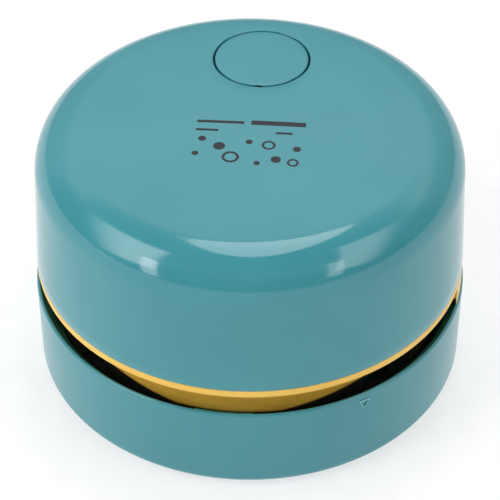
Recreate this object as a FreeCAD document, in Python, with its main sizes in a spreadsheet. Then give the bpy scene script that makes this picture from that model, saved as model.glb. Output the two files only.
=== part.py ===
import FreeCAD, Part
import Sketcher
import math
import os

from FreeCAD import Placement, Rotation, Vector

# Desktop mini vacuum cleaner. Origin: centre of the desk contact plane, +Z up,
# +Y towards the power button, lengths in millimetres and angles in degrees.
SIZES = {
    # outer casing
    "head_room": 1.37,
    "crown_radius": 1000.0,
    "shell_draft": 2.14,
    "shell_corner": 8.4,
    "shell_wall": 2.0,
    # base tray
    "ride_height": 0.8,
    "rim_flare": 0.36,
    "base_flare": 0.26,
    "rim_height": 19.2,
    "base_wall": 2.0,
    "floor_thickness": 2.0,
    "base_fillet": 2.0,
    "rim_fillet": 0.45,
    "rim_land": 0.1,
    "rim_slope": 1.8,
    "ledge_drop": 7.0,
    "ledge_reach": 0.74,
    "ledge_thickness": 1.4,
    "recess_radius": 17.0,
    "recess_depth": 3.4,
    "mouth_radius": 8.0,
    "chimney_wall": 1.4,
    "chimney_gap": 1.2,
    # twist lock between base and skirt
    "lock_count": 3,
    "lock_first_angle": 30.0,
    "lock_turn": 20.0,
    "lug_angle": 12.0,
    "lug_gap": 0.46,
    "lug_lift": 0.4,
    "lug_thickness": 1.5,
    "hook_angle": 14.0,
    "hook_thickness": 1.3,
    "hook_gap": 0.3,
    "stop_angle": 3.0,
    "stop_gap_angle": 0.5,
    # alignment mark, a raised triangle
    "mark_angle": 36.6,
    "mark_width": 2.7,
    "mark_height": 2.6,
    "mark_line": 0.45,
    "mark_drop": 0.95,
    "mark_relief": 0.3,
    # glide feet
    "foot_radius": 4.0,
    "foot_inset": 11.6,
    "foot_pocket": 0.6,
    "foot_rounding": 0.25,
    # brush ring
    "ring_gap": 0.3,
    "ring_bore_gap": 1.6,
    "ring_thickness": 2.0,
    "tuft_radius": 0.6,
    "tuft_depth": 1.0,
    "tuft_clearance": 0.1,
    "inner_tuft_inset": 1.8,
    "outer_tuft_inset": 2.6,
    "inner_tuft_count": 20,
    "outer_tuft_count": 26,
    # vent ring
    "exhaust_gap": 4.3,
    "flange_thickness": 1.55,
    "flange_rounding": 0.25,
    "skirt_clearance": 0.712,
    "skirt_recess": 3.5,
    "skirt_wall": 1.4,
    "seal_thickness": 0.8,
    "seal_reach": 0.4,
    "pillar_angle": 20.0,
    "front_window_start": 40.0,
    "front_window_sweep": 9.5,
    "side_window_start": 58.5,
    "side_window_sweep": 19.5,
    "window_lift": 0.4,
    "window_margin": 0.3,
    "cut_spare": 0.2,
    # chassis
    "deck_thickness": 1.6,
    "deck_gap": 0.3,
    "plate_thickness": 1.4,
    "plate_drop": 1.2,
    "plate_gap": 0.3,
    "duct_bore": 12.2,
    "duct_wall": 1.0,
    "duct_outlet": 14.0,
    "inlet_radius": 8.5,
    "post_radius": 2.4,
    "post_inset": 5.6,
    # cells, size AAA
    "cell_radius": 5.25,
    "cell_length": 44.5,
    "cell_lift": 0.8,
    "cell_clearance": 0.2,
    "nub_radius": 1.9,
    "nub_length": 0.9,
    "bay_gap": 0.55,
    "coil_room": 2.9,
    "bay_wall": 1.0,
    "contact_thickness": 0.4,
    "contact_width": 7.0,
    "contact_height": 8.0,
    "tab_width": 2.4,
    "tab_rise": 2.5,
    "coil_wire": 0.3,
    "coil_radius": 2.6,
    # battery doors
    "door_gap": 0.25,
    "barrel_radius": 1.0,
    "barrel_inset": 1.0,
    "barrel_drop": 0.4,
    "pin_radius": 0.6,
    "pin_length": 1.0,
    "pin_gap": 0.05,
    "ear_thickness": 1.3,
    "ear_radius": 1.3,
    "pull_width": 8.0,
    "pull_depth": 1.2,
    "pull_height": 1.0,
    # filter
    "frame_gap": 0.55,
    "frame_bore": 10.2,
    "frame_height": 2.2,
    "mesh_thickness": 0.8,
    "mesh_drop": 0.8,
    "grip_width": 1.6,
    "grip_height": 1.2,
    "tab_reach": 1.4,
    "tab_angle": 24.0,
    "tab_height": 1.0,
    "clasp_angle": 20.0,
    "clasp_gap": 0.3,
    "clasp_wall": 1.0,
    "clasp_lip": 1.0,
    # motor, flattened can
    "core_radius": 6.9,
    "core_gap": 0.05,
    "can_length": 17.7,
    "can_wall": 0.6,
    "cap_length": 5.5,
    "cap_wall": 1.0,
    "nose_radius": 3.05,
    "nose_length": 1.5,
    "nose_gap": 0.2,
    "shaft_radius": 1.0,
    "shaft_gap": 0.04,
    "bush_radius": 2.2,
    "bush_length": 2.0,
    "magnet_gap": 0.5,
    "magnet_thickness": 2.05,
    "magnet_angle": 66.0,
    "magnet_length": 13.0,
    "magnet_start": 2.0,
    "core_length": 12.0,
    "core_slot": 1.6,
    "core_hub": 2.4,
    "commutator_radius": 2.6,
    "brush_gap": 0.05,
    "terminal_spread": 6.0,
    "terminal_width": 2.4,
    "terminal_height": 1.8,
    "terminal_thickness": 0.5,
    "motor_rib_height": 4.0,
    "motor_rib_length": 16.0,
    "motor_gap": 0.1,
    # impeller
    "fan_gap": 0.6,
    "fan_lift": 0.9,
    "blade_height": 3.7,
    "blade_thickness": 0.7,
    "blade_root": 3.4,
    "blade_lean": 4.0,
    "blade_count": 9,
    "fan_plate": 1.0,
    "fan_hub_radius": 2.4,
    "fan_hub_height": 5.6,
    # motor clamp
    "strap_thickness": 1.0,
    "strap_width": 8.0,
    "strap_foot": 6.2,
    "strap_boss_radius": 2.6,
    "strap_boss_height": 3.0,
    # power button and switch
    "button_spare": 4.8,
    "button_gap": 0.4,
    "hole_rounding": 0.25,
    "collar_wall": 1.2,
    "collar_gap": 0.45,
    "button_wall": 1.2,
    "crown_depth": 2.6,
    "button_flange_reach": 0.85,
    "button_flange": 1.2,
    "button_stem_radius": 1.6,
    "button_travel": 1.8,
    "button_edge": 0.2,
    "board_lift": 5.5,
    "board_thickness": 1.0,
    "board_edge": 2.1,
    "board_post_radius": 1.9,
    "board_post_out": 0.7,
    "board_post_in": 0.9,
    "switch_half_side": 4.0,
    "switch_height": 7.2,
    "plunger_half_side": 1.5,
    "plunger_gap": 0.2,
    "plunger_sink": 2.2,
    "plunger_rise": 2.8,
    "spring_ratio": 1.65,
    "spring_gap": 1.25,
    "spring_wire": 0.25,
    "spring_turns": 5,
    # screws
    "shell_screw_inset": 6.1,
    "shell_screw_y": 9.0,
    "shell_boss_radius": 3.2,
    "ear_plate": 1.6,
    "thread_radius": 1.1,
    "screw_clearance": 0.3,
    "screw_head_radius": 2.1,
    "screw_head_height": 1.5,
    "shell_screw_length": 9.0,
    "small_thread_radius": 0.9,
    "small_head_radius": 1.7,
    "small_head_height": 1.1,
    "small_screw_length": 5.0,
    "pilot_spare": 0.6,
    "driver_slot": 0.5,
    "driver_depth": 0.6,
    # leads
    "lead_radius": 0.6,
    "lead_rise": 5.0,
    "lead_reach": 4.4,
}

doc = FreeCAD.newDocument("desk_vacuum")
sheet = doc.addObject("Spreadsheet::Sheet", "Sizes")
parts = []


class Size:
    """A number kept together with the sheet formula that gives it."""

    def __init__(self, number, formula):
        self.number = float(number)
        self.formula = formula

    def __add__(self, other):
        other = as_size(other)
        return Size(self.number + other.number, f"({self.formula} + {other.formula})")

    def __sub__(self, other):
        other = as_size(other)
        return Size(self.number - other.number, f"({self.formula} - {other.formula})")

    def __mul__(self, other):
        other = as_size(other)
        return Size(self.number * other.number, f"({self.formula} * {other.formula})")

    def __truediv__(self, other):
        other = as_size(other)
        return Size(self.number / other.number, f"({self.formula} / {other.formula})")

    def __neg__(self):
        return Size(-self.number, f"(-1 * {self.formula})")


def as_size(value):
    if isinstance(value, Size):
        return value
    return Size(value, f"({float(value)})")


def root(size):
    return Size(math.sqrt(size.number), f"sqrt({size.formula})")


def bind(item, prop, size):
    item.setExpression(prop, as_size(size).formula)


class Sheet:
    """Gives each named size of the spreadsheet as an attribute."""

    def __getattr__(self, name):
        return Size(sheet.get(name), f"Sizes.{name}")


def fill_sheet():
    for row, (name, value) in enumerate(SIZES.items(), start=1):
        sheet.set(f"A{row}", name)
        sheet.set(f"B{row}", str(value))
        sheet.setAlias(f"B{row}", name)
    doc.recompute()


def number(value):
    return as_size(value).number


fill_sheet()
S = Sheet()


def place(item, x=0, y=0, z=0):
    for axis, size in zip("xyz", (x, y, z)):
        bind(item, f"Placement.Base.{axis}", size)
    return item


# --- solids of the Part workbench, each bound to the sheet ---


def box(name, low, high):
    item = doc.addObject("Part::Box", name)
    bind(item, "Length", as_size(high[0]) - low[0])
    bind(item, "Width", as_size(high[1]) - low[1])
    bind(item, "Height", as_size(high[2]) - low[2])
    return place(item, *low)


def centred_box(name, half_x, half_y, bottom, top, centre=(0, 0)):
    x, y = as_size(centre[0]), as_size(centre[1])
    return box(name, (x - half_x, y - half_y, bottom), (x + half_x, y + half_y, top))


def rod(name, radius, bottom, top, centre=(0, 0)):
    item = doc.addObject("Part::Cylinder", name)
    bind(item, "Radius", radius)
    bind(item, "Height", as_size(top) - bottom)
    return place(item, centre[0], centre[1], bottom)


def rod_along_x(name, radius, start, end, y, z):
    item = doc.addObject("Part::Cylinder", name)
    item.Placement = Placement(Vector(), Rotation(Vector(0, 1, 0), 90))
    bind(item, "Radius", radius)
    bind(item, "Height", as_size(end) - start)
    return place(item, start, y, z)


def sector(name, radius, bottom, top, start, sweep):
    item = rod(name, radius, bottom, top)
    bind(item, "Angle", sweep)
    bind(item, "Placement.Rotation.Angle", start)
    return item


def sphere(name, radius, z):
    item = doc.addObject("Part::Sphere", name)
    bind(item, "Radius", radius)
    return place(item, 0, 0, z)


def fuse(name, *pieces):
    item = doc.addObject("Part::MultiFuse", name)
    item.Shapes = list(pieces)
    return item


def group(name, *pieces):
    item = doc.addObject("Part::Compound", name)
    item.Links = list(pieces)
    return item


def cut(name, base, *tools):
    item = doc.addObject("Part::Cut", name)
    item.Base = base
    item.Tool = tools[0] if len(tools) == 1 else group(f"{name}_tools", *tools)
    return item


def common(name, base, tool):
    item = doc.addObject("Part::Common", name)
    item.Base = base
    item.Tool = tool
    return item


def tube(name, outer, inner, bottom, top, centre=(0, 0)):
    solid = rod(f"{name}_solid", outer, bottom, top, centre)
    hollow = rod(f"{name}_hollow", inner, bottom, top, centre)
    return cut(name, solid, hollow)


def tube_sector(name, outer, inner, bottom, top, start, sweep):
    solid = sector(f"{name}_solid", outer, bottom, top, start, sweep)
    return cut(name, solid, rod(f"{name}_hollow", inner, bottom, top))


def turned(name, source, angle):
    """A copy of a solid, turned about the object's own upright axis."""
    item = doc.addObject("Part::Compound", name)
    item.Links = [source]
    bind(item, "Placement.Rotation.Angle", angle)
    return item


# --- PartDesign bodies, sketched on their own origin planes ---


def new_body(name):
    return doc.addObject("PartDesign::Body", name)


def new_sketch(body, name, role, lift=0):
    sketch = body.newObject("Sketcher::SketchObject", name)
    plane = [item for item in body.Origin.OriginFeatures if item.Role == role][0]
    sketch.AttachmentSupport = [(plane, "")]
    sketch.MapMode = "FlatFace"
    bind(sketch, "AttachmentOffset.Base.z", lift)
    return sketch


def hold_point(sketch, geometry, end, corner):
    for axis, size in zip("XY", corner):
        index = sketch.addConstraint(
            Sketcher.Constraint(f"Distance{axis}", -1, 1, geometry, end, number(size))
        )
        bind(sketch, f"Constraints[{index}]", size)


def draw_polygon(sketch, corners):
    first = sketch.GeometryCount
    count = len(corners)
    for i, corner in enumerate(corners):
        following = corners[(i + 1) % count]
        start = Vector(number(corner[0]), number(corner[1]), 0)
        end = Vector(number(following[0]), number(following[1]), 0)
        sketch.addGeometry(Part.LineSegment(start, end), False)
    for i in range(count):
        following = first + (i + 1) % count
        sketch.addConstraint(Sketcher.Constraint("Coincident", first + i, 2, following, 1))
    for i, corner in enumerate(corners):
        hold_point(sketch, first + i, 1, corner)


def revolve(body, sketch):
    item = body.newObject("PartDesign::Revolution", f"{sketch.Name}_turned")
    item.Profile = sketch
    item.ReferenceAxis = (sketch, ["V_Axis"])
    item.Angle = 360
    sketch.Visibility = False
    return item


def pad(body, sketch, length):
    item = body.newObject("PartDesign::Pad", f"{sketch.Name}_padded")
    item.Profile = sketch
    bind(item, "Length", length)
    return item


def circles_of(shape):
    """The name and the circle of each round edge."""
    found = []
    for i, edge in enumerate(shape.Edges, start=1):
        if not edge.Degenerated and isinstance(edge.Curve, Part.Circle):
            found.append((f"Edge{i}", edge.Curve))
    return found


def circle_edges(shape, circles):
    """Names of the round edges with these radii and heights."""
    found = []
    for radius, height in circles:
        for name, circle in circles_of(shape):
            same_radius = abs(circle.Radius - number(radius)) < NEAR
            if same_radius and abs(circle.Center.z - number(height)) < NEAR:
                found.append(name)
    return found


def soften(name, base, radius, touches):
    """Rounds the edges of a finished solid that the test picks by their box."""
    doc.recompute()
    picked = [
        i for i, edge in enumerate(base.Shape.Edges, start=1) if touches(edge.BoundBox)
    ]
    item = doc.addObject("Part::Fillet", name)
    item.Base = base
    item.Edges = [(i, number(radius), number(radius)) for i in picked]
    return item


def round_edges(body, feature, circles, radius):
    doc.recompute()
    item = body.newObject("PartDesign::Fillet", f"{feature.Name}_rounded")
    item.Base = (feature, circle_edges(feature.Shape, circles))
    bind(item, "Radius", radius)
    return item


def lathe(name, corners):
    body = new_body(name)
    sketch = new_sketch(body, f"{name}_profile", "XZ_Plane")
    draw_polygon(sketch, corners)
    revolve(body, sketch)
    return body


# --- what several pieces share ---


def screw(name, x, y, under_head, head_radius, head_height, thread_radius, length, down):
    """A pan-head screw: the thread points down, or up when down is False."""
    way = -1 if down else 1
    under_head = as_size(under_head)
    head_end = under_head - head_height * way
    tip = under_head + length * way
    slot_floor = head_end + S.driver_depth * way
    if down:
        head = rod(f"{name}_head", head_radius, under_head, head_end, (x, y))
        thread = rod(f"{name}_thread", thread_radius, tip, under_head, (x, y))
        span = (slot_floor, head_end)
    else:
        head = rod(f"{name}_head", head_radius, head_end, under_head, (x, y))
        thread = rod(f"{name}_thread", thread_radius, under_head, tip, (x, y))
        span = (head_end, slot_floor)
    blank = fuse(f"{name}_blank", head, thread)
    half_slot = S.driver_slot / 2
    along = centred_box(f"{name}_slot_a", head_radius * SLOT_SHARE, half_slot, *span, (x, y))
    across = centred_box(f"{name}_slot_b", half_slot, head_radius * SLOT_SHARE, *span, (x, y))
    return cut(name, blank, fuse(f"{name}_cross", along, across))


def wire_path(points):
    """Straight runs joined by tangent arcs, as large as the runs allow."""
    corners = [Vector(*[number(value) for value in point]) for point in points]
    edges = []
    start = corners[0]
    for before, corner, after in zip(corners, corners[1:], corners[2:]):
        arrive = (corner - before).normalize()
        leave = (after - corner).normalize()
        half_turn = arrive.getAngle(leave) / 2
        reach = ARC_SHARE * min((corner - before).Length, (after - corner).Length)
        begin = corner - arrive * reach
        end = corner + leave * reach
        inward = (leave - arrive).normalize()
        radius = reach / math.tan(half_turn)
        middle = corner + inward * (radius / math.cos(half_turn) - radius)
        edges.append(Part.LineSegment(start, begin).toShape())
        edges.append(Part.Arc(begin, middle, end).toShape())
        start = end
    edges.append(Part.LineSegment(start, corners[-1]).toShape())
    return Part.Wire(edges)


def round_wire(points, radius):
    """A round wire that follows the points."""
    path = wire_path(points)
    start = Vector(*[number(value) for value in points[0]])
    heading = path.Edges[0].tangentAt(path.Edges[0].FirstParameter)
    ring = Part.Wire([Part.makeCircle(radius, start, heading)])
    return path.makePipeShell([ring], True, True)


def lead(name, points):
    item = doc.addObject("Part::Feature", name)
    item.Shape = round_wire(points, S.lead_radius.number)
    item.Placement = Placement()
    return item


def coil(turns, height, radius, wire):
    """A round-wire coil that stands on z = 0."""
    count = int(turns * COIL_CORNERS)
    points = []
    for i in range(count + 1):
        angle = 2 * math.pi * i / COIL_CORNERS
        points.append((radius * math.cos(angle), radius * math.sin(angle), height * i / count))
    return round_wire(points, wire)


def finish(item, name):
    item.Label = name
    parts.append(item)
    return item


# the cells and the duct set the room inside
BAY_HALF_WIDTH = S.cell_radius + S.cell_clearance
BAY_HALF_LENGTH = S.cell_length / 2 + S.contact_thickness + S.coil_room / 2
BAY_INNER_Y = S.duct_bore + S.duct_wall + S.bay_gap
CELL_OFFSET = BAY_INNER_Y + BAY_HALF_WIDTH
BAY_OUTER_Y = CELL_OFFSET + BAY_HALF_WIDTH
BAY_CORNER_X = BAY_HALF_LENGTH + S.bay_wall
BAY_CORNER_Y = BAY_OUTER_Y + S.bay_wall

# the casing is drawn round the bays' corners
SKIRT_INNER = root(BAY_CORNER_X * BAY_CORNER_X + BAY_CORNER_Y * BAY_CORNER_Y) + S.skirt_clearance
SKIRT_RADIUS = SKIRT_INNER + S.skirt_wall
SHELL_RADIUS = SKIRT_RADIUS + S.skirt_recess
SHELL_INNER = SHELL_RADIUS - S.shell_wall
RIM_RADIUS = SHELL_RADIUS + S.rim_flare
BASE_RADIUS = RIM_RADIUS - S.base_flare
BASE_INNER = RIM_RADIUS - S.base_wall

# heights, from the desk up
FLOOR_TOP = S.ride_height + S.floor_thickness
RECESS_TOP = S.ride_height + S.recess_depth
LEDGE_TOP = S.rim_height - S.ledge_drop
SKIRT_BOTTOM = LEDGE_TOP + S.seal_thickness
LUG_BOTTOM = SKIRT_BOTTOM + S.lug_lift
LUG_TOP = LUG_BOTTOM + S.lug_thickness
HOOK_BOTTOM = LUG_TOP + S.hook_gap
WINDOW_BOTTOM = LUG_TOP + S.window_lift
PLATE_TOP = S.rim_height - S.plate_drop
PLATE_BOTTOM = PLATE_TOP - S.plate_thickness
FRAME_BOTTOM = PLATE_BOTTOM - S.frame_height
CHIMNEY_TOP = FRAME_BOTTOM - S.grip_height - S.chimney_gap
FLANGE_BOTTOM = S.rim_height + S.exhaust_gap
SHELL_BOTTOM = FLANGE_BOTTOM + S.flange_thickness
EAR_BOTTOM = SHELL_BOTTOM - S.ear_plate
DECK_TOP = SHELL_BOTTOM + S.deck_thickness
CELL_HEIGHT = PLATE_TOP + S.cell_lift + S.cell_radius
BAY_TOP = CELL_HEIGHT + BAY_HALF_WIDTH
BAY_ROOF = BAY_TOP + S.bay_wall
TAB_TOP = BAY_ROOF + S.tab_rise
FAN_BOTTOM = PLATE_TOP + S.fan_lift
CAN_TOP = DECK_TOP + S.can_length
MOTOR_TOP = CAN_TOP + S.cap_length
SHELL_TOP = MOTOR_TOP + S.strap_thickness + S.head_room + S.shell_wall
BOARD_BOTTOM = BAY_ROOF + S.board_lift
BOARD_TOP = BOARD_BOTTOM + S.board_thickness
SWITCH_TOP = BOARD_TOP + S.switch_height
PLUNGER_TOP = SWITCH_TOP + S.plunger_rise
PLUNGER_BOTTOM = SWITCH_TOP - S.plunger_sink
COLLAR_BOTTOM = MOTOR_TOP + S.collar_gap
BUTTON_CEILING = SHELL_TOP - S.crown_depth

# the motor and the switch set the button's size and place
CAN_HALF_FLAT = S.core_radius + S.core_gap + S.can_wall
MAGNET_INNER = S.core_radius + S.magnet_gap
CAN_RADIUS = MAGNET_INNER + S.magnet_thickness + S.can_wall
SPRING_RADIUS = S.switch_half_side * S.spring_ratio
BUTTON_INNER = SPRING_RADIUS + S.spring_gap
BUTTON_RADIUS = BUTTON_INNER + S.button_wall
BUTTON_HOLE_RADIUS = BUTTON_RADIUS + S.button_gap
BUTTON_FLANGE_RADIUS = BUTTON_HOLE_RADIUS + S.button_flange_reach
BUTTON_OFFSET = CAN_HALF_FLAT + S.button_spare + BUTTON_RADIUS
BOARD_POST_X = SPRING_RADIUS + S.board_post_out
BOARD_POST_Y = SPRING_RADIUS - S.board_post_in
BOARD_HALF_WIDTH = BOARD_POST_X + S.board_edge
BOARD_HALF_DEPTH = BOARD_POST_Y + S.board_edge

# radii and places that pieces share
LEDGE_INNER = SKIRT_INNER - S.ledge_reach
HOOK_INNER = SKIRT_RADIUS + S.hook_gap
LUG_OUTER = BASE_INNER - S.lug_gap
RING_BORE = S.mouth_radius + S.ring_bore_gap
FRAME_RADIUS = BAY_INNER_Y - S.frame_gap
FAN_RADIUS = S.duct_bore - S.fan_gap
HINGE_Y = BAY_OUTER_Y - S.door_gap - S.barrel_inset
HINGE_Z = PLATE_BOTTOM - S.barrel_drop
FOOT_CIRCLE = BASE_RADIUS - S.foot_inset
POST_OFFSET = SKIRT_INNER - S.post_inset
SHELL_SCREW_X = SKIRT_INNER - S.shell_screw_inset
STRAP_SPOT = CAN_RADIUS + S.motor_gap + S.strap_thickness + S.strap_foot / 2
SHELL_SCREW_SPOTS = [
    (SHELL_SCREW_X * side, S.shell_screw_y * end) for side in (-1, 1) for end in (-1, 1)
]
POST_SPOTS = [(POST_OFFSET, 0), (0, POST_OFFSET), (-POST_OFFSET, 0), (0, -POST_OFFSET)]
BOARD_SPOTS = [
    (-BOARD_POST_X, BUTTON_OFFSET - BOARD_POST_Y),
    (BOARD_POST_X, BUTTON_OFFSET + BOARD_POST_Y),
]
HALF_TURN = 180
QUARTER_TURN = 90
THIRD_TURN = 120
NEAR = 0.01
ARC_SHARE = 0.45
COIL_TURNS = 2.5
COIL_CORNERS = 12
SLOT_SHARE = 0.7
BELOW_ALL = SHELL_TOP / -10
ABOVE_ALL = SHELL_TOP * 1.5


# --- base ---


def base_profile():
    inner_floor = S.recess_radius + S.base_wall
    chimney_outer = S.mouth_radius + S.chimney_wall
    raised_floor = RECESS_TOP + S.floor_thickness
    ledge_bottom = LEDGE_TOP - S.ledge_thickness
    slope_bottom = ledge_bottom - (BASE_INNER - LEDGE_INNER)
    return [
        (S.mouth_radius, RECESS_TOP),
        (S.recess_radius, RECESS_TOP),
        (S.recess_radius, S.ride_height),
        (BASE_RADIUS, S.ride_height),
        (RIM_RADIUS, S.rim_height),
        (RIM_RADIUS - S.rim_fillet - S.rim_land, S.rim_height),
        (BASE_INNER, S.rim_height - S.rim_slope),
        (BASE_INNER, LEDGE_TOP),
        (LEDGE_INNER, LEDGE_TOP),
        (LEDGE_INNER, ledge_bottom),
        (BASE_INNER, slope_bottom),
        (BASE_INNER, FLOOR_TOP),
        (inner_floor, FLOOR_TOP),
        (inner_floor, raised_floor),
        (chimney_outer, raised_floor),
        (chimney_outer, CHIMNEY_TOP),
        (S.mouth_radius, CHIMNEY_TOP),
    ]


def lock_angle(i):
    return S.lock_first_angle + as_size(360.0 * i) / S.lock_count


def lock_hook(i):
    """A hook on the base wall, with the stop that the lug turns against."""
    half = S.hook_angle / 2
    outer = BASE_INNER + S.base_wall / 2
    top = HOOK_BOTTOM + S.hook_thickness
    start = lock_angle(i) - half
    roof = tube_sector(f"hook_{i}", outer, HOOK_INNER, HOOK_BOTTOM, top, start, S.hook_angle)
    stop_start = lock_angle(i) - S.lug_angle / 2 - S.stop_gap_angle - S.stop_angle
    stop = tube_sector(
        f"hook_stop_{i}", outer, HOOK_INNER, LUG_BOTTOM, top, stop_start, S.stop_angle
    )
    return [roof, stop]


def alignment_mark():
    """A raised triangle outline that points down, moulded on the base wall."""
    top = S.rim_height - S.rim_fillet - S.mark_drop
    tip = top - S.mark_height
    half = S.mark_width / 2
    line = S.mark_line
    slant = root(half * half + S.mark_height * S.mark_height)
    inner_tip = tip + line * slant / half
    inner_half = (top - line - inner_tip) * half / S.mark_height
    body = new_body("mark_body")
    sketch = new_sketch(body, "mark_outline", "XZ_Plane", RIM_RADIUS - S.base_wall / 2)
    draw_polygon(sketch, [(-half, top), (half, top), (0, tip)])
    draw_polygon(sketch, [(-inner_half, top - line), (inner_half, top - line), (0, inner_tip)])
    pad(body, sketch, S.base_wall)
    skin = rod("mark_skin", RIM_RADIUS + S.mark_relief, S.ride_height, S.rim_height)
    return turned("mark_turned", common("mark", body, skin), S.mark_angle)


def foot_spots():
    reach = FOOT_CIRCLE * math.cos(math.radians(45))
    return [(reach * a, reach * b) for a in (-1, 1) for b in (-1, 1)]


def base_tray():
    body = lathe("base_cup", base_profile())
    turned_cup = body.Group[-1]
    bottom = round_edges(
        body, turned_cup, [(BASE_RADIUS, S.ride_height)], S.base_fillet
    )
    round_edges(body, bottom, [(RIM_RADIUS, S.rim_height)], S.rim_fillet)
    hooks = []
    for i in range(int(S.lock_count.number)):
        hooks.extend(lock_hook(i))
    full = fuse("base_full", body, alignment_mark(), *hooks)
    pockets = [
        rod(f"foot_pocket_{i}", S.foot_radius, BELOW_ALL, S.ride_height + S.foot_pocket, spot)
        for i, spot in enumerate(foot_spots())
    ]
    return finish(cut("base_drilled", full, *pockets), "base_tray")


def glide_feet():
    feet = []
    for i, spot in enumerate(foot_spots()):
        disc = rod(f"foot_{i}", S.foot_radius, 0, S.ride_height + S.foot_pocket, spot)
        feet.append(
            soften(f"foot_round_{i}", disc, S.foot_rounding, lambda span: span.ZMax < NEAR)
        )
    return finish(group("feet", *feet), "glide_feet")


def tuft_spots():
    spots = []
    for circle, count in (
        (RING_BORE + S.inner_tuft_inset, S.inner_tuft_count),
        (S.recess_radius - S.outer_tuft_inset, S.outer_tuft_count),
    ):
        total = int(count.number)
        for i in range(total):
            angle = 2 * math.pi * i / total
            spots.append((circle * math.cos(angle), circle * math.sin(angle)))
    return spots


def brush_ring():
    bottom = RECESS_TOP - S.ring_thickness
    ring = tube(
        "brush_blank", S.recess_radius - S.ring_gap, RING_BORE, bottom, RECESS_TOP
    )
    holes = [
        rod(f"tuft_hole_{i}", S.tuft_radius, BELOW_ALL, bottom + S.tuft_depth, spot)
        for i, spot in enumerate(tuft_spots())
    ]
    return finish(cut("brush_holder", ring, *holes), "brush_ring")


def brush_tufts():
    top = RECESS_TOP - S.ring_thickness + S.tuft_depth
    tufts = [
        rod(f"tuft_{i}", S.tuft_radius, S.tuft_clearance, top, spot)
        for i, spot in enumerate(tuft_spots())
    ]
    return finish(group("tufts", *tufts), "brush_tufts")


def dust_seal():
    inner = SKIRT_INNER - S.seal_reach
    return finish(tube("seal_ring", SKIRT_RADIUS, inner, LEDGE_TOP, SKIRT_BOTTOM), "dust_seal")


# --- casing of the upper part ---


def dome(name, radius, bottom, top, crown_radius, corner):
    """A lathe-turned dome: drafted wall, rounded corner and a crowned top."""
    body = new_body(name)
    sketch = new_sketch(body, f"{name}_profile", "XZ_Plane")
    lean = math.tan(math.radians(S.shell_draft.number))
    wide, low, high = number(radius), number(bottom), number(top)
    crown = number(crown_radius)
    meet_x = wide - (high - low) * lean
    meet_z = high - crown + math.sqrt(crown**2 - meet_x**2)
    centre = Vector(0, high - crown, 0)
    start_angle = math.atan2(meet_z - centre.y, meet_x)
    foot, corner_point = Vector(wide, low, 0), Vector(meet_x, meet_z, 0)
    sketch.addGeometry(Part.LineSegment(Vector(0, low, 0), foot), False)
    sketch.addGeometry(Part.LineSegment(foot, corner_point), False)
    arc = Part.ArcOfCircle(Part.Circle(centre, Vector(0, 0, 1), crown), start_angle, math.pi / 2)
    sketch.addGeometry(arc, False)
    apex = Vector(0, high, 0)
    sketch.addGeometry(Part.LineSegment(apex, Vector(0, low, 0)), False)
    sketch.addConstraint(Sketcher.Constraint("Coincident", 0, 2, 1, 1))
    sketch.addConstraint(Sketcher.Constraint("Coincident", 1, 2, 2, 1))
    sketch.addConstraint(Sketcher.Constraint("Coincident", 2, 2, 3, 1))
    sketch.addConstraint(Sketcher.Constraint("Coincident", 3, 2, 0, 1))
    sketch.addConstraint(Sketcher.Constraint("PointOnObject", 2, 3, -2))
    hold_point(sketch, 0, 1, (0, bottom))
    hold_point(sketch, 1, 1, (radius, bottom))
    hold_point(sketch, 3, 1, (0, top))
    index = sketch.addConstraint(Sketcher.Constraint("Radius", 2, crown))
    bind(sketch, f"Constraints[{index}]", crown_radius)
    upright = math.radians(90) + math.radians(S.shell_draft.number)
    index = sketch.addConstraint(Sketcher.Constraint("Angle", 1, upright))
    bind(sketch, f"Constraints[{index}]", S.shell_draft + QUARTER_TURN)
    turned_dome = revolve(body, sketch)
    doc.recompute()
    wall_top = [
        edge_name
        for edge_name, circle in circles_of(turned_dome.Shape)
        if circle.Radius > wide / 2 and circle.Center.z > low + 1
    ]
    rounded = body.newObject("PartDesign::Fillet", f"{name}_corner")
    rounded.Base = (turned_dome, wall_top)
    bind(rounded, "Radius", corner)
    return body


def top_shell():
    outer = dome(
        "shell_outer",
        SHELL_RADIUS,
        SHELL_BOTTOM,
        SHELL_TOP,
        S.crown_radius,
        S.shell_corner,
    )
    inner = dome(
        "shell_inner",
        SHELL_INNER,
        SHELL_BOTTOM,
        SHELL_TOP - S.shell_wall,
        S.crown_radius - S.shell_wall,
        S.shell_corner - S.shell_wall,
    )
    button_centre = (0, BUTTON_OFFSET)
    solids = [
        rod(f"shell_boss_{i}", S.shell_boss_radius, DECK_TOP, ABOVE_ALL, spot)
        for i, spot in enumerate(SHELL_SCREW_SPOTS)
    ]
    collar_radius = BUTTON_HOLE_RADIUS + S.collar_wall
    solids.append(rod("collar", collar_radius, COLLAR_BOTTOM, ABOVE_ALL, button_centre))
    hollow = cut("shell_hollow", inner, *solids)
    cup = cut("shell_cup", outer, hollow)
    pilot_top = EAR_BOTTOM + S.shell_screw_length + S.pilot_spare
    holes = [
        rod(f"shell_pilot_{i}", S.thread_radius, SHELL_BOTTOM, pilot_top, spot)
        for i, spot in enumerate(SHELL_SCREW_SPOTS)
    ]
    holes.append(rod("button_hole", BUTTON_HOLE_RADIUS, DECK_TOP, ABOVE_ALL, button_centre))
    drilled = cut("shell_drilled", cup, *holes)
    wide = BUTTON_HOLE_RADIUS.number
    shell = soften(
        "shell",
        drilled,
        S.hole_rounding,
        lambda span: abs(span.XMax - wide) < NEAR and span.ZMin > COLLAR_BOTTOM.number + 1,
    )
    return finish(shell, "top_shell")


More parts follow.
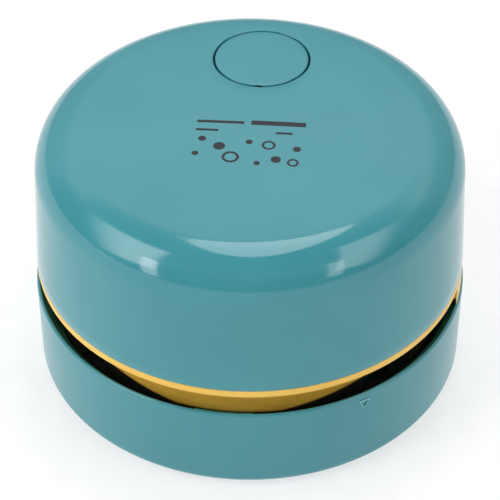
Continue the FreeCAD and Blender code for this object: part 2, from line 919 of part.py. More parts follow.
def window_spans():
    """Start and sweep of the exhaust windows, mirrored to all four quarters."""
    spans = []
    for first, sweep in (
        (S.front_window_start, S.front_window_sweep),
        (S.side_window_start, S.side_window_sweep),
    ):
        for centre in (-QUARTER_TURN, QUARTER_TURN):
            spans.append((first + centre, sweep))
            spans.append((as_size(centre) - first - sweep, sweep))
    return spans


def ear(i, spot):
    """A screw ear that reaches in from the flange."""
    side = 1 if number(spot[0]) > 0 else -1
    tip = rod(f"ear_tip_{i}", S.shell_boss_radius, EAR_BOTTOM, SHELL_BOTTOM, spot)
    near, far = spot[0], (SKIRT_INNER + S.skirt_wall / 2) * side
    low_x, high_x = (near, far) if side > 0 else (far, near)
    half = S.shell_boss_radius
    bridge = box(
        f"ear_bridge_{i}",
        (low_x, spot[1] - half, EAR_BOTTOM),
        (high_x, spot[1] + half, SHELL_BOTTOM),
    )
    return [tip, bridge]


def vent_ring():
    profile = [
        (SKIRT_INNER, SKIRT_BOTTOM),
        (SKIRT_RADIUS, SKIRT_BOTTOM),
        (SKIRT_RADIUS, FLANGE_BOTTOM),
        (SHELL_RADIUS, FLANGE_BOTTOM),
        (SHELL_RADIUS, SHELL_BOTTOM),
        (SKIRT_INNER, SHELL_BOTTOM),
    ]
    body = lathe("vent_blank", profile)
    round_edges(body, body.Group[-1], [(SHELL_RADIUS, FLANGE_BOTTOM)], S.flange_rounding)
    pieces = [body]
    for i in range(2):
        start = S.pillar_angle / -2 + HALF_TURN * i
        pieces.append(
            tube_sector(
                f"pillar_{i}",
                SHELL_RADIUS,
                SKIRT_INNER,
                S.rim_height,
                SHELL_BOTTOM,
                start,
                S.pillar_angle,
            )
        )
    for i in range(int(S.lock_count.number)):
        start = lock_angle(i) + S.lock_turn - S.lug_angle / 2
        pieces.append(
            tube_sector(f"lug_{i}", LUG_OUTER, SKIRT_INNER, LUG_BOTTOM, LUG_TOP, start, S.lug_angle)
        )
    for i, spot in enumerate(SHELL_SCREW_SPOTS):
        pieces.extend(ear(i, spot))
    reach = SKIRT_RADIUS + S.cut_spare
    window_top = FLANGE_BOTTOM - S.window_margin
    windows = [
        sector(f"window_{i}", reach, WINDOW_BOTTOM, window_top, start, sweep)
        for i, (start, sweep) in enumerate(window_spans())
    ]
    hole_radius = S.thread_radius + S.screw_clearance
    holes = [
        rod(f"ear_hole_{i}", hole_radius, BELOW_ALL, ABOVE_ALL, spot)
        for i, spot in enumerate(SHELL_SCREW_SPOTS)
    ]
    core = rod("window_core", SKIRT_INNER - S.cut_spare, WINDOW_BOTTOM, window_top)
    openings = cut("window_cuts", group("windows", *windows), core)
    return finish(cut("vent", fuse("vent_full", *pieces), openings, *holes), "vent_ring")


# --- chassis and bottom plate ---


def mirrored_y(side, low, high):
    """A span in y, put on the front (-1) or the rear (1) side."""
    return (low, high) if side > 0 else (-as_size(high), -as_size(low))


def bay(side, name):
    """The outer block and the open-bottomed room of one battery bay."""
    half = BAY_HALF_LENGTH
    low, high = mirrored_y(side, BAY_INNER_Y, BAY_OUTER_Y)
    wall = S.bay_wall
    block = box(
        f"{name}_block", (-half - wall, low - wall, PLATE_TOP), (half + wall, high + wall, BAY_ROOF)
    )
    room = box(f"{name}_room", (-half, low, BELOW_ALL), (half, high, BAY_TOP))
    return block, room


def tab_slots():
    """Slots in the bay roofs that the contact tabs pass through."""
    slots = []
    for side in (-1, 1):
        for end in (-1, 1):
            x = (BAY_HALF_LENGTH - S.contact_thickness / 2) * end
            slots.append(
                centred_box(
                    f"tab_slot_{side}_{end}",
                    S.contact_thickness / 2,
                    S.tab_width / 2,
                    BAY_TOP - S.bay_wall,
                    BAY_ROOF + S.bay_wall,
                    (x, CELL_OFFSET * side),
                )
            )
    return slots


def chassis():
    deck = rod("deck", SHELL_INNER - S.deck_gap, SHELL_BOTTOM, DECK_TOP)
    front_block, front_room = bay(-1, "front_bay")
    rear_block, rear_room = bay(1, "rear_bay")
    duct = tube(
        "duct", S.duct_bore + S.duct_wall, S.duct_bore, PLATE_TOP, SHELL_BOTTOM
    )
    outlet = centred_box(
        "duct_outlet", S.duct_bore + S.duct_wall * 2, S.duct_outlet / 2, PLATE_TOP, SHELL_BOTTOM
    )
    solids = [deck, front_block, rear_block, cut("duct_open", duct, outlet)]
    holes = [front_room, rear_room]
    for i, spot in enumerate(POST_SPOTS):
        solids.append(rod(f"plate_post_{i}", S.post_radius, PLATE_TOP, SHELL_BOTTOM, spot))
        depth = PLATE_TOP + S.small_screw_length + S.pilot_spare - S.plate_thickness
        holes.append(rod(f"plate_pilot_{i}", S.small_thread_radius, BELOW_ALL, depth, spot))
    for i, side in enumerate((-1, 1)):
        spot = (STRAP_SPOT * side, 0)
        top = DECK_TOP + S.strap_boss_height
        solids.append(rod(f"strap_boss_{i}", S.strap_boss_radius, DECK_TOP, top, spot))
        low = top - S.small_screw_length + S.strap_thickness
        holes.append(rod(f"strap_pilot_{i}", S.small_thread_radius, low, ABOVE_ALL, spot))
        inner = CAN_HALF_FLAT + S.motor_gap
        y_low, y_high = mirrored_y(side, inner, inner + S.bay_wall)
        half = S.motor_rib_length / 2
        rib_top = DECK_TOP + S.motor_rib_height
        solids.append(box(f"motor_rib_{i}", (-half, y_low, DECK_TOP), (half, y_high, rib_top)))
    for i, spot in enumerate(BOARD_SPOTS):
        solids.append(rod(f"board_post_{i}", S.board_post_radius, SHELL_BOTTOM, BOARD_BOTTOM, spot))
        low = BOARD_TOP - S.small_screw_length
        holes.append(rod(f"board_pilot_{i}", S.small_thread_radius, low, ABOVE_ALL, spot))
    clear = S.thread_radius + S.screw_clearance
    for i, spot in enumerate(SHELL_SCREW_SPOTS):
        holes.append(rod(f"deck_hole_{i}", clear, BELOW_ALL, DECK_TOP, spot))
    holes.append(rod("nose_hole", S.nose_radius + S.nose_gap, BELOW_ALL, DECK_TOP))
    holes.extend(tab_slots())
    return finish(cut("chassis_cut", fuse("chassis_full", *solids), *holes), "chassis")


def hinge_ears(side, name):
    """Blocks under the plate that hold one door's hinge pins, and their pin holes."""
    ears = []
    half = BAY_HALF_LENGTH
    for end in (-1, 1):
        low_x, high_x = (half, half + S.ear_thickness)
        if end < 0:
            low_x, high_x = -high_x, -low_x
        low_y, high_y = mirrored_y(side, HINGE_Y - S.ear_radius, HINGE_Y + S.ear_radius)
        ears.append(
            box(f"{name}_ear_{end}", (low_x, low_y, HINGE_Z - S.ear_radius),
                (high_x, high_y, PLATE_TOP))
        )
    pin_hole = rod_along_x(
        f"{name}_pin_hole",
        S.pin_radius + S.pin_gap,
        -half - S.pin_length,
        half + S.pin_length,
        HINGE_Y * side,
        HINGE_Z,
    )
    return ears, pin_hole


def filter_clasps():
    """Hooks under the plate that the filter frame's tabs turn into."""
    reach = FRAME_RADIUS + S.tab_reach + S.clasp_gap
    outer = reach + S.clasp_wall
    tab_bottom = PLATE_BOTTOM - S.clasp_gap - S.tab_height
    lip_top = tab_bottom - S.clasp_gap
    lip_bottom = lip_top - S.clasp_lip
    clasps = []
    for i in range(2):
        start = S.clasp_angle / -2 + HALF_TURN * i
        clasps.append(
            tube_sector(f"clasp_wall_{i}", outer, reach, lip_bottom, PLATE_BOTTOM, start,
                        S.clasp_angle)
        )
        inner = FRAME_RADIUS + S.clasp_gap
        clasps.append(
            tube_sector(f"clasp_lip_{i}", outer, inner, lip_bottom, lip_top, start, S.clasp_angle)
        )
    return clasps


def bottom_plate():
    disc = rod("plate_disc", SKIRT_INNER - S.plate_gap, PLATE_BOTTOM, PLATE_TOP)
    solids = [disc, *filter_clasps()]
    holes = [rod("inlet", S.inlet_radius, BELOW_ALL, PLATE_TOP)]
    for side, name in ((-1, "front"), (1, "rear")):
        ears, pin_hole = hinge_ears(side, name)
        solids.extend(ears)
        holes.append(pin_hole)
        low, high = mirrored_y(side, BAY_INNER_Y, BAY_OUTER_Y)
        half = BAY_HALF_LENGTH
        holes.append(box(f"{name}_doorway", (-half, low, BELOW_ALL), (half, high, ABOVE_ALL)))
    for i, spot in enumerate(POST_SPOTS):
        clear = S.small_thread_radius + S.screw_clearance / 2
        holes.append(rod(f"plate_hole_{i}", clear, BELOW_ALL, PLATE_TOP, spot))
    return finish(cut("plate_cut", fuse("plate_full", *solids), *holes), "bottom_plate")


def battery_door(side, name):
    """A flat lid with a hinge barrel, pins and a finger pull."""
    half = BAY_HALF_LENGTH - S.door_gap
    inner = BAY_INNER_Y + S.door_gap
    low, high = mirrored_y(side, inner, BAY_OUTER_Y - S.door_gap)
    panel = box(f"{name}_panel", (-half, low, PLATE_BOTTOM), (half, high, PLATE_TOP))
    y = HINGE_Y * side
    barrel = rod_along_x(f"{name}_barrel", S.barrel_radius, -half, half, y, HINGE_Z)
    pin_end = BAY_HALF_LENGTH + S.pin_length - S.pin_gap
    pins = rod_along_x(f"{name}_pins", S.pin_radius, -pin_end, pin_end, y, HINGE_Z)
    pull_low, pull_high = mirrored_y(side, inner, inner + S.pull_depth)
    width = S.pull_width / 2
    pull = box(
        f"{name}_pull",
        (-width, pull_low, PLATE_BOTTOM - S.pull_height),
        (width, pull_high, PLATE_BOTTOM),
    )
    return finish(fuse(f"{name}_door", panel, barrel, pins, pull), f"battery_door_{name}")


# --- filter ---


def filter_frame():
    solids = [tube("frame_ring", FRAME_RADIUS, S.frame_bore, FRAME_BOTTOM, PLATE_BOTTOM)]
    tab_top = PLATE_BOTTOM - S.clasp_gap
    for i in range(2):
        start = S.tab_angle / -2 + HALF_TURN * i
        solids.append(
            tube_sector(
                f"frame_tab_{i}",
                FRAME_RADIUS + S.tab_reach,
                S.frame_bore,
                tab_top - S.tab_height,
                tab_top,
                start,
                S.tab_angle,
            )
        )
    middle = (S.frame_bore + FRAME_RADIUS) / 2
    half = S.grip_width / 2
    grip_top = PLATE_BOTTOM - S.mesh_drop - S.mesh_thickness
    grip_bottom = FRAME_BOTTOM - S.grip_height
    solids.append(centred_box("frame_grip", middle, half, grip_bottom, grip_top))
    solids.append(centred_box("frame_spoke", half, middle, FRAME_BOTTOM, grip_top))
    return finish(fuse("frame", *solids), "filter_frame")


def filter_mesh():
    top = PLATE_BOTTOM - S.mesh_drop
    return finish(rod("mesh_disc", S.frame_bore, top - S.mesh_thickness, top), "filter_mesh")


# --- cells and contacts ---


def cell(side, name):
    """The nub points to +x in the front bay and to -x in the rear bay."""
    face = BAY_HALF_LENGTH - S.contact_thickness
    nub_start = face - S.nub_length
    far_end = face - S.cell_length
    y = CELL_OFFSET * side
    if side < 0:
        can = rod_along_x(f"{name}_can", S.cell_radius, far_end, nub_start, y, CELL_HEIGHT)
        nub = rod_along_x(f"{name}_nub", S.nub_radius, nub_start, face, y, CELL_HEIGHT)
    else:
        can = rod_along_x(f"{name}_can", S.cell_radius, -nub_start, -far_end, y, CELL_HEIGHT)
        nub = rod_along_x(f"{name}_nub", S.nub_radius, -face, -nub_start, y, CELL_HEIGHT)
    return finish(fuse(f"{name}_cell", can, nub), f"battery_{name}")


def contact_blade(side, end, name):
    """A flat contact on a bay's end wall, with a tab that leaves by the roof."""
    x = (BAY_HALF_LENGTH - S.contact_thickness / 2) * end
    y = CELL_OFFSET * side
    half_height = S.contact_height / 2
    face = centred_box(
        f"{name}_face",
        S.contact_thickness / 2,
        S.contact_width / 2,
        CELL_HEIGHT - half_height,
        CELL_HEIGHT + half_height,
        (x, y),
    )
    tab = centred_box(
        f"{name}_tab",
        S.contact_thickness / 2,
        S.tab_width / 2,
        CELL_HEIGHT,
        TAB_TOP,
        (x, y),
    )
    return fuse(f"{name}_blade", face, tab)


def plate_contacts():
    front = contact_blade(-1, 1, "front_plate")
    rear = contact_blade(1, -1, "rear_plate")
    return finish(group("plates", front, rear), "plate_contacts")


def contact_coil(side, end, name):
    """A coil between the blade and the cell's flat end."""
    wire = S.coil_wire.number
    height = S.coil_room.number - 2 * wire
    item = doc.addObject("Part::Feature", name)
    item.Shape = coil(COIL_TURNS, height, S.coil_radius.number, wire)
    start = (BAY_HALF_LENGTH - S.contact_thickness).number - wire
    item.Placement = Placement(
        Vector(start * end, (CELL_OFFSET * side).number, CELL_HEIGHT.number),
        Rotation(Vector(0, 1, 0), -QUARTER_TURN * end),
    )
    return item


def spring_contacts():
    return finish(
        group(
            "springs",
            contact_blade(-1, -1, "front_spring"),
            contact_coil(-1, -1, "front_coil"),
            contact_blade(1, 1, "rear_spring"),
            contact_coil(1, 1, "rear_coil"),
        ),
        "spring_contacts",
    )


# --- motor ---


def flattened(name, radius, half_flat, bottom, top):
    round_bar = rod(f"{name}_round", radius, bottom, top)
    flats = centred_box(f"{name}_flats", radius, half_flat, bottom, top)
    return common(name, round_bar, flats)


def motor_can():
    outer = flattened("can_outer", CAN_RADIUS, CAN_HALF_FLAT, DECK_TOP, CAN_TOP)
    nose = rod("can_nose", S.nose_radius, DECK_TOP - S.nose_length, DECK_TOP)
    wall = S.can_wall
    room = flattened(
        "can_room", CAN_RADIUS - wall, CAN_HALF_FLAT - wall, DECK_TOP + wall, CAN_TOP
    )
    bore = rod("can_bore", S.bush_radius, BELOW_ALL, ABOVE_ALL)
    return finish(cut("can", fuse("can_full", outer, nose), room, bore), "motor_can")


def motor_magnets():
    outer = CAN_RADIUS - S.can_wall
    bottom = DECK_TOP + S.magnet_start
    top = bottom + S.magnet_length
    magnets = [
        tube_sector(
            f"magnet_{i}",
            outer,
            MAGNET_INNER,
            bottom,
            top,
            S.magnet_angle / -2 + HALF_TURN * i,
            S.magnet_angle,
        )
        for i in range(2)
    ]
    return finish(group("magnets", *magnets), "motor_magnets")


def motor_end_cap():
    outer = flattened("cap_outer", CAN_RADIUS, CAN_HALF_FLAT, CAN_TOP, MOTOR_TOP)
    wall = S.cap_wall
    room = flattened(
        "cap_room", CAN_RADIUS - wall, CAN_HALF_FLAT - wall, CAN_TOP, MOTOR_TOP - S.bush_length
    )
    bore = rod("cap_bore", S.bush_radius, BELOW_ALL, ABOVE_ALL)
    slots = [terminal_blade(side, f"cap_slot_{side}") for side in (-1, 1)]
    return finish(cut("cap", outer, room, bore, *slots), "motor_end_cap")


def motor_bushes():
    bore = S.shaft_radius + S.shaft_gap
    nose_end = DECK_TOP - S.nose_length
    front = tube("front_bush", S.bush_radius, bore, nose_end, nose_end + S.bush_length)
    rear = tube("rear_bush", S.bush_radius, bore, MOTOR_TOP - S.bush_length, MOTOR_TOP)
    return finish(group("bushes", front, rear), "motor_bushes")


def terminal_y():
    return CAN_HALF_FLAT - S.cap_wall - S.terminal_thickness / 2


def terminal_blade(side, name):
    """The flat tab that stands out of the motor's end cap."""
    return centred_box(
        name,
        S.terminal_width / 2,
        S.terminal_thickness / 2,
        MOTOR_TOP - S.bush_length - S.terminal_thickness,
        MOTOR_TOP + S.terminal_height,
        (S.terminal_spread * side, terminal_y()),
    )


def motor_terminals():
    """Each tab runs down into a brush arm that rides beside the commutator."""
    top = MOTOR_TOP - S.bush_length
    bottom = top - S.terminal_thickness
    pieces = []
    for side in (-1, 1):
        blade = terminal_blade(side, f"terminal_{side}")
        brush_face = S.commutator_radius + S.brush_gap
        brush = centred_box(
            f"terminal_brush_{side}",
            S.terminal_thickness / 2,
            S.terminal_width / 2,
            CAN_TOP,
            top,
            ((brush_face + S.terminal_thickness / 2) * side, 0),
        )
        spread = S.terminal_spread * side
        inner_x = brush_face * side
        low_x, high_x = (inner_x, spread) if side > 0 else (spread, inner_x)
        half = S.terminal_width / 2
        arm = box(f"terminal_arm_{side}", (low_x, -half, bottom), (high_x, half, top))
        link = box(
            f"terminal_link_{side}",
            (spread - half / 2, -half, bottom),
            (spread + half / 2, terminal_y() + S.terminal_thickness / 2, top),
        )
        pieces.append(fuse(f"terminal_piece_{side}", blade, brush, arm, link))
    return finish(group("terminals", *pieces), "motor_terminals")


def motor_shaft():
    top = MOTOR_TOP + S.strap_thickness / 2
    return finish(rod("shaft", S.shaft_radius, FAN_BOTTOM, top), "motor_shaft")


def motor_armature():
    bottom = DECK_TOP + S.magnet_start + (S.magnet_length - S.core_length) / 2
    top = bottom + S.core_length
    core = tube("core", S.core_radius, S.shaft_radius, bottom, top)
    slots = []
    for i in range(3):
        slot = box(
            f"core_slot_{i}",
            (S.core_hub, -S.core_slot / 2, bottom),
            (S.core_radius * 2, S.core_slot / 2, top),
        )
        slots.append(turned(f"core_slot_turned_{i}", slot, THIRD_TURN * i))
    return finish(cut("core_slotted", core, *slots), "motor_armature")


def motor_commutator():
    top = MOTOR_TOP - S.bush_length - S.terminal_thickness
    return finish(
        tube("commutator", S.commutator_radius, S.shaft_radius, CAN_TOP, top), "motor_commutator"
    )


def motor_clamp():
    half = S.strap_width / 2
    thickness = S.strap_thickness
    inner = CAN_RADIUS + S.motor_gap
    foot_bottom = DECK_TOP + S.strap_boss_height
    foot_end = inner + thickness + S.strap_foot
    top = MOTOR_TOP + thickness
    body = new_body("clamp_body")
    sketch = new_sketch(body, "clamp_profile", "XZ_Plane", -half)
    right = [
        (inner, MOTOR_TOP),
        (inner, foot_bottom),
        (foot_end, foot_bottom),
        (foot_end, foot_bottom + thickness),
        (inner + thickness, foot_bottom + thickness),
        (inner + thickness, top),
    ]
    left = [(-x, z) for x, z in reversed(right)]
    draw_polygon(sketch, right + left)
    pad(body, sketch, S.strap_width)
    clear = S.small_thread_radius + S.screw_clearance / 2
    holes = [
        rod(f"clamp_hole_{side}", clear, BELOW_ALL, ABOVE_ALL, (STRAP_SPOT * side, 0))
        for side in (-1, 1)
    ]
    holes.append(rod("clamp_eye", S.bush_radius, MOTOR_TOP, ABOVE_ALL))
    return finish(cut("clamp", body, *holes), "motor_clamp")


# --- impeller ---


def impeller():
    plate_bottom = FAN_BOTTOM + S.blade_height
    plate_top = plate_bottom + S.fan_plate
    hub_top = FAN_BOTTOM + S.fan_hub_height
    body = lathe(
        "fan_body",
        [
            (S.shaft_radius, FAN_BOTTOM),
            (S.fan_hub_radius, FAN_BOTTOM),
            (S.fan_hub_radius, plate_bottom),
            (FAN_RADIUS, plate_bottom),
            (FAN_RADIUS, plate_top),
            (S.fan_hub_radius, plate_top),
            (S.fan_hub_radius, hub_top),
            (S.shaft_radius, hub_top),
        ],
    )
    sketch = new_sketch(body, "blade_outline", "XY_Plane", FAN_BOTTOM)
    tip = FAN_RADIUS - S.blade_thickness
    middle = (S.blade_root + tip) / 2
    half = S.blade_thickness / 2
    bow = S.blade_lean / 4
    draw_polygon(
        sketch,
        [
            (S.blade_root - S.fan_hub_radius / 2, -half),
            (middle, bow - half),
            (tip, S.blade_lean - half),
            (tip, S.blade_lean + half),
            (middle, bow + half),
            (S.blade_root - S.fan_hub_radius / 2, half),
        ],
    )
    blade = pad(body, sketch, S.blade_height)
    doc.recompute()
    pattern = body.newObject("PartDesign::PolarPattern", "blade_pattern")
    pattern.Originals = [blade]
    pattern.Axis = (sketch, ["N_Axis"])
    pattern.Angle = 360
    pattern.Occurrences = int(S.blade_count.number)
    body.Tip = pattern
    return finish(body, "impeller")


# --- power button and switch ---


def power_button():
    centre = (0, BUTTON_OFFSET)
    flange_top = COLLAR_BOTTOM
    flange_bottom = flange_top - S.button_flange
    blank = rod("button_blank", BUTTON_RADIUS, flange_bottom, ABOVE_ALL, centre)
    crown = sphere("button_crown", S.crown_radius, SHELL_TOP - S.crown_radius)
    cap = common("button_cap", blank, crown)
    disc = rod("button_disc", BUTTON_FLANGE_RADIUS, flange_bottom, flange_top, centre)
    reach = BUTTON_FLANGE_RADIUS
    flat_side = box(
        "button_flat",
        (-reach, BUTTON_OFFSET - BUTTON_RADIUS, flange_bottom),
        (reach, BUTTON_OFFSET + reach, flange_top),
    )
    flange = common("button_flange", disc, flat_side)
    room = rod("button_room", BUTTON_INNER, BELOW_ALL, BUTTON_CEILING, centre)
    hollow = cut("button_hollow", fuse("button_full", cap, flange), room)
    stem = rod("button_stem", S.button_stem_radius, PLUNGER_TOP, BUTTON_CEILING, centre)
    wide = BUTTON_RADIUS.number
    button = soften(
        "button",
        fuse("button_whole", hollow, stem),
        S.button_edge,
        lambda span: abs(span.XMax - wide) < NEAR and span.ZMin > BUTTON_CEILING.number,
    )
    return finish(button, "power_button")


def switch_board():
    centre = (0, BUTTON_OFFSET)
    board = centred_box(
        "board", BOARD_HALF_WIDTH, BOARD_HALF_DEPTH, BOARD_BOTTOM, BOARD_TOP, centre
    )
    clear = S.small_thread_radius + S.screw_clearance / 2
    holes = [
        rod(f"board_hole_{i}", clear, BELOW_ALL, ABOVE_ALL, spot)
        for i, spot in enumerate(BOARD_SPOTS)
    ]
    return finish(cut("board_drilled", board, *holes), "switch_board")


def switch_body():
    centre = (0, BUTTON_OFFSET)
    half = S.switch_half_side
    block = centred_box("switch_block", half, half, BOARD_TOP, SWITCH_TOP, centre)
    cavity = S.plunger_half_side + S.plunger_gap
    well_floor = PLUNGER_BOTTOM - S.button_travel - S.plunger_gap
    well = centred_box("switch_well", cavity, cavity, well_floor, SWITCH_TOP, centre)
    return finish(cut("switch", block, well), "switch_body")


def switch_plunger():
    half = S.plunger_half_side
    centre = (0, BUTTON_OFFSET)
    return finish(
        centred_box("plunger", half, half, PLUNGER_BOTTOM, PLUNGER_TOP, centre),
        "switch_plunger",
    )


def button_spring():
    wire = S.spring_wire.number
    height = (BUTTON_CEILING - BOARD_TOP).number - 2 * wire
    item = doc.addObject("Part::Feature", "spring_coil")
    item.Shape = coil(S.spring_turns.number, height, SPRING_RADIUS.number, wire)
    lift = BOARD_TOP.number + wire
    item.Placement = Placement(Vector(0, BUTTON_OFFSET.number, lift), Rotation())
    return finish(item, "button_spring")


# --- screws ---


def screw_group(name, spots, under_head, big, length, down):
    sizes = (
        (S.screw_head_radius, S.screw_head_height, S.thread_radius)
        if big
        else (S.small_head_radius, S.small_head_height, S.small_thread_radius)
    )
    items = [
        screw(f"{name}_{i}", spot[0], spot[1], under_head, *sizes, length, down)
        for i, spot in enumerate(spots)
    ]
    return finish(group(f"{name}_all", *items), name)


def all_screws():
    screw_group("shell_screws", SHELL_SCREW_SPOTS, EAR_BOTTOM, True, S.shell_screw_length, False)
    screw_group("plate_screws", POST_SPOTS, PLATE_BOTTOM, False, S.small_screw_length, False)
    strap_top = DECK_TOP + S.strap_boss_height + S.strap_thickness
    strap_spots = [(STRAP_SPOT * side, 0) for side in (-1, 1)]
    screw_group("clamp_screws", strap_spots, strap_top, False, S.small_screw_length, True)
    screw_group("board_screws", BOARD_SPOTS, BOARD_TOP, False, S.small_screw_length, True)


# --- leads ---


def above(point, rise):
    return (point[0], point[1], as_size(point[2]) + rise)


def between(first, second):
    return tuple((as_size(a) + b) / 2 for a, b in zip(first, second))


def all_leads():
    """Leads leave tabs and pads straight up, and reach the motor's tabs from the sides."""
    rise = S.lead_rise
    tab_x = BAY_HALF_LENGTH - S.contact_thickness / 2
    pad_x = BOARD_HALF_WIDTH - S.lead_radius
    end_x = S.terminal_spread + S.terminal_width / 2
    end_z = MOTOR_TOP + S.terminal_height / 2
    front_plus, front_minus = [(tab_x * end, -CELL_OFFSET, TAB_TOP) for end in (1, -1)]
    rear_minus, rear_plus = [(tab_x * end, CELL_OFFSET, TAB_TOP) for end in (1, -1)]
    pad_right, pad_left = [(pad_x * end, BUTTON_OFFSET, BOARD_TOP) for end in (1, -1)]
    motor_right, motor_left = [(end_x * end, terminal_y(), end_z) for end in (1, -1)]
    side_right, side_left = [
        ((end_x + S.lead_reach) * end, terminal_y(), end_z) for end in (1, -1)
    ]
    middle = above(between(front_plus, pad_right), rise * 1.5)
    finish(
        lead("red", [
            front_plus, above(front_plus, rise), middle, above(pad_right, rise), pad_right,
        ]),
        "red_lead",
    )
    middle = above(between(rear_minus, side_right), rise)
    finish(
        lead("black", [rear_minus, above(rear_minus, rise), middle, side_right, motor_right]),
        "black_lead",
    )
    crest = above(between(front_minus, rear_plus), rise * 1.5)
    finish(
        lead("jumper", [
            front_minus, above(front_minus, rise), crest, above(rear_plus, rise), rear_plus,
        ]),
        "jumper_lead",
    )
    finish(
        lead("motor", [pad_left, above(pad_left, rise), side_left, motor_left]),
        "motor_lead",
    )


# --- build, check, write ---


def build():
    base_tray()
    glide_feet()
    brush_ring()
    brush_tufts()
    dust_seal()
    top_shell()
    vent_ring()
    chassis()
    bottom_plate()
    battery_door(-1, "front")
    battery_door(1, "rear")
    filter_frame()
    filter_mesh()
    cell(-1, "front")
    cell(1, "rear")
    plate_contacts()
    spring_contacts()
    motor_can()
    motor_magnets()
    motor_end_cap()
    motor_bushes()
    motor_terminals()
    motor_shaft()
    motor_armature()
    motor_commutator()
    motor_clamp()
    impeller()
    power_button()
    switch_board()
    switch_body()
    switch_plunger()
    button_spring()
    all_screws()
    all_leads()


def check():
    failed = [
        item.Name for item in doc.Objects if {"Invalid", "Error"} & set(item.State)
    ]
    if failed:
        raise RuntimeError(f"these objects failed: {failed}")
    for part in parts:
        if part.Shape.isNull() or not part.Shape.isValid():
            raise RuntimeError(f"{part.Label} has no valid shape")


def write():
    os.makedirs("parts", exist_ok=True)
    for part in parts:
        part.Shape.exportStep(f"parts/{part.Label}.step")
        solids = part.Shape.Solids
        volume = sum(solid.Volume for solid in solids)
        print(f"{part.Label}: {len(solids)} solids, {volume:.1f} mm3")


build()
doc.recompute()
check()
write()
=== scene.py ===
import bmesh
import bpy
import math
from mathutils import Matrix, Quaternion, Vector


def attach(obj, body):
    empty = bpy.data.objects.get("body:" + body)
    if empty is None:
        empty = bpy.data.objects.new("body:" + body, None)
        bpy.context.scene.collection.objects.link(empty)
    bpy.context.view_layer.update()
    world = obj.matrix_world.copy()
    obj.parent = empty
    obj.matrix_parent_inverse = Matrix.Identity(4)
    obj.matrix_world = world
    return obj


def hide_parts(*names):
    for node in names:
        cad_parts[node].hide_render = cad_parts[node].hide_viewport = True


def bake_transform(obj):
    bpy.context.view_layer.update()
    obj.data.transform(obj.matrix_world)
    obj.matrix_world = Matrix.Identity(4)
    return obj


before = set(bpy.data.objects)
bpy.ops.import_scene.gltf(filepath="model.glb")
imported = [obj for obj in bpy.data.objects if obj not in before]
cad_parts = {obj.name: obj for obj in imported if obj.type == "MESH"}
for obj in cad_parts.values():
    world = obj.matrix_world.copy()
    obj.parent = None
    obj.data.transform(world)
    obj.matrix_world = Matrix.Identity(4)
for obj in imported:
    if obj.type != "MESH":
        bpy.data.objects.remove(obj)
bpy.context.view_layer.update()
print("stage 1: frame loaded")

mm = 0.001
tip = 0.01  # radius of the smallest ring, where a turned piece closes
quarterSteps = 4  # faces round an eased edge


# selection and rings

def clearSelection():
    if bpy.context.object and bpy.context.object.mode != "OBJECT":
        bpy.ops.object.mode_set(mode="OBJECT")
    bpy.ops.object.select_all(action="DESELECT")


def pick(piece):
    clearSelection()
    piece.select_set(True)
    bpy.context.view_layer.objects.active = piece


def openEdit(piece, mode="VERT"):
    pick(piece)
    bpy.ops.object.mode_set(mode="EDIT")
    bpy.ops.mesh.select_mode(type=mode)
    bpy.ops.mesh.select_all(action="DESELECT")


def firstRing(name, centre, ring, steps):  # ring is radius and height
    clearSelection()
    place = (centre[0] * mm, centre[1] * mm, ring[1] * mm)
    bpy.ops.mesh.primitive_circle_add(vertices=steps, radius=ring[0] * mm, location=place)
    piece = bpy.context.object
    piece.name = piece.data.name = name
    bpy.ops.object.transform_apply(location=True, rotation=True, scale=True)
    bpy.ops.object.mode_set(mode="EDIT")
    bpy.ops.mesh.select_mode(type="VERT")
    bpy.ops.mesh.select_all(action="SELECT")
    return piece


def nextRing(centre, old, new, slide=(0, 0)):
    bpy.ops.mesh.extrude_region_move(
        TRANSFORM_OT_translate={"value": (slide[0] * mm, slide[1] * mm, (new[1] - old[1]) * mm)}
    )
    share = new[0] / old[0]
    pivot = (centre[0] * mm, centre[1] * mm, new[1] * mm)
    bpy.ops.transform.resize(value=(share, share, 1), center_override=pivot)


def closeUp(piece, angle=30):
    if bpy.context.object.mode != "EDIT":
        openEdit(piece)
    bpy.ops.mesh.select_all(action="SELECT")
    bpy.ops.mesh.remove_doubles(threshold=0.002 * mm)
    bpy.ops.mesh.normals_make_consistent(inside=False)
    bpy.ops.mesh.select_all(action="DESELECT")
    pick(piece)
    bpy.ops.object.shade_smooth_by_angle(angle=math.radians(angle))
    return piece


def softProfile(corners, arcSteps=5):  # corners are radius, height, rounding
    points = []
    count = len(corners)
    for i, (radius, height, soft) in enumerate(corners):
        corner = Vector((radius, height))
        if not soft:
            points.append((radius, height))
            continue
        toOld = (Vector(corners[i - 1][:2]) - corner).normalized()
        toNew = (Vector(corners[(i + 1) % count][:2]) - corner).normalized()
        half = toOld.angle(toNew) / 2
        centre = corner + (toOld + toNew).normalized() * (soft / math.sin(half))
        start = corner + toOld * (soft / math.tan(half)) - centre
        end = corner + toNew * (soft / math.tan(half)) - centre
        for k in range(arcSteps + 1):
            spoke = start.lerp(end, k / arcSteps).normalized() * soft
            points.append(tuple(centre + spoke))
    return points


def turnPiece(name, corners, steps=128, centre=(0, 0), arcSteps=5, angle=30):  # a closed ring
    points = softProfile(corners, arcSteps)
    piece = firstRing(name, centre, points[0], steps)
    for old, new in zip(points, points[1:] + points[:1]):
        nextRing(centre, old, new)
    return closeUp(piece, angle)


def turnSolid(name, corners, steps=64, centre=(0, 0), arcSteps=4, angle=30):  # both ends capped
    ends = (tip, corners[0][1], 0), (tip, corners[-1][1], 0)
    points = softProfile([ends[0]] + corners + [ends[1]], arcSteps)
    piece = firstRing(name, centre, points[0], steps)
    bpy.ops.mesh.edge_face_add()
    for old, new in zip(points, points[1:]):
        nextRing(centre, old, new)
    return closeUp(piece, angle)


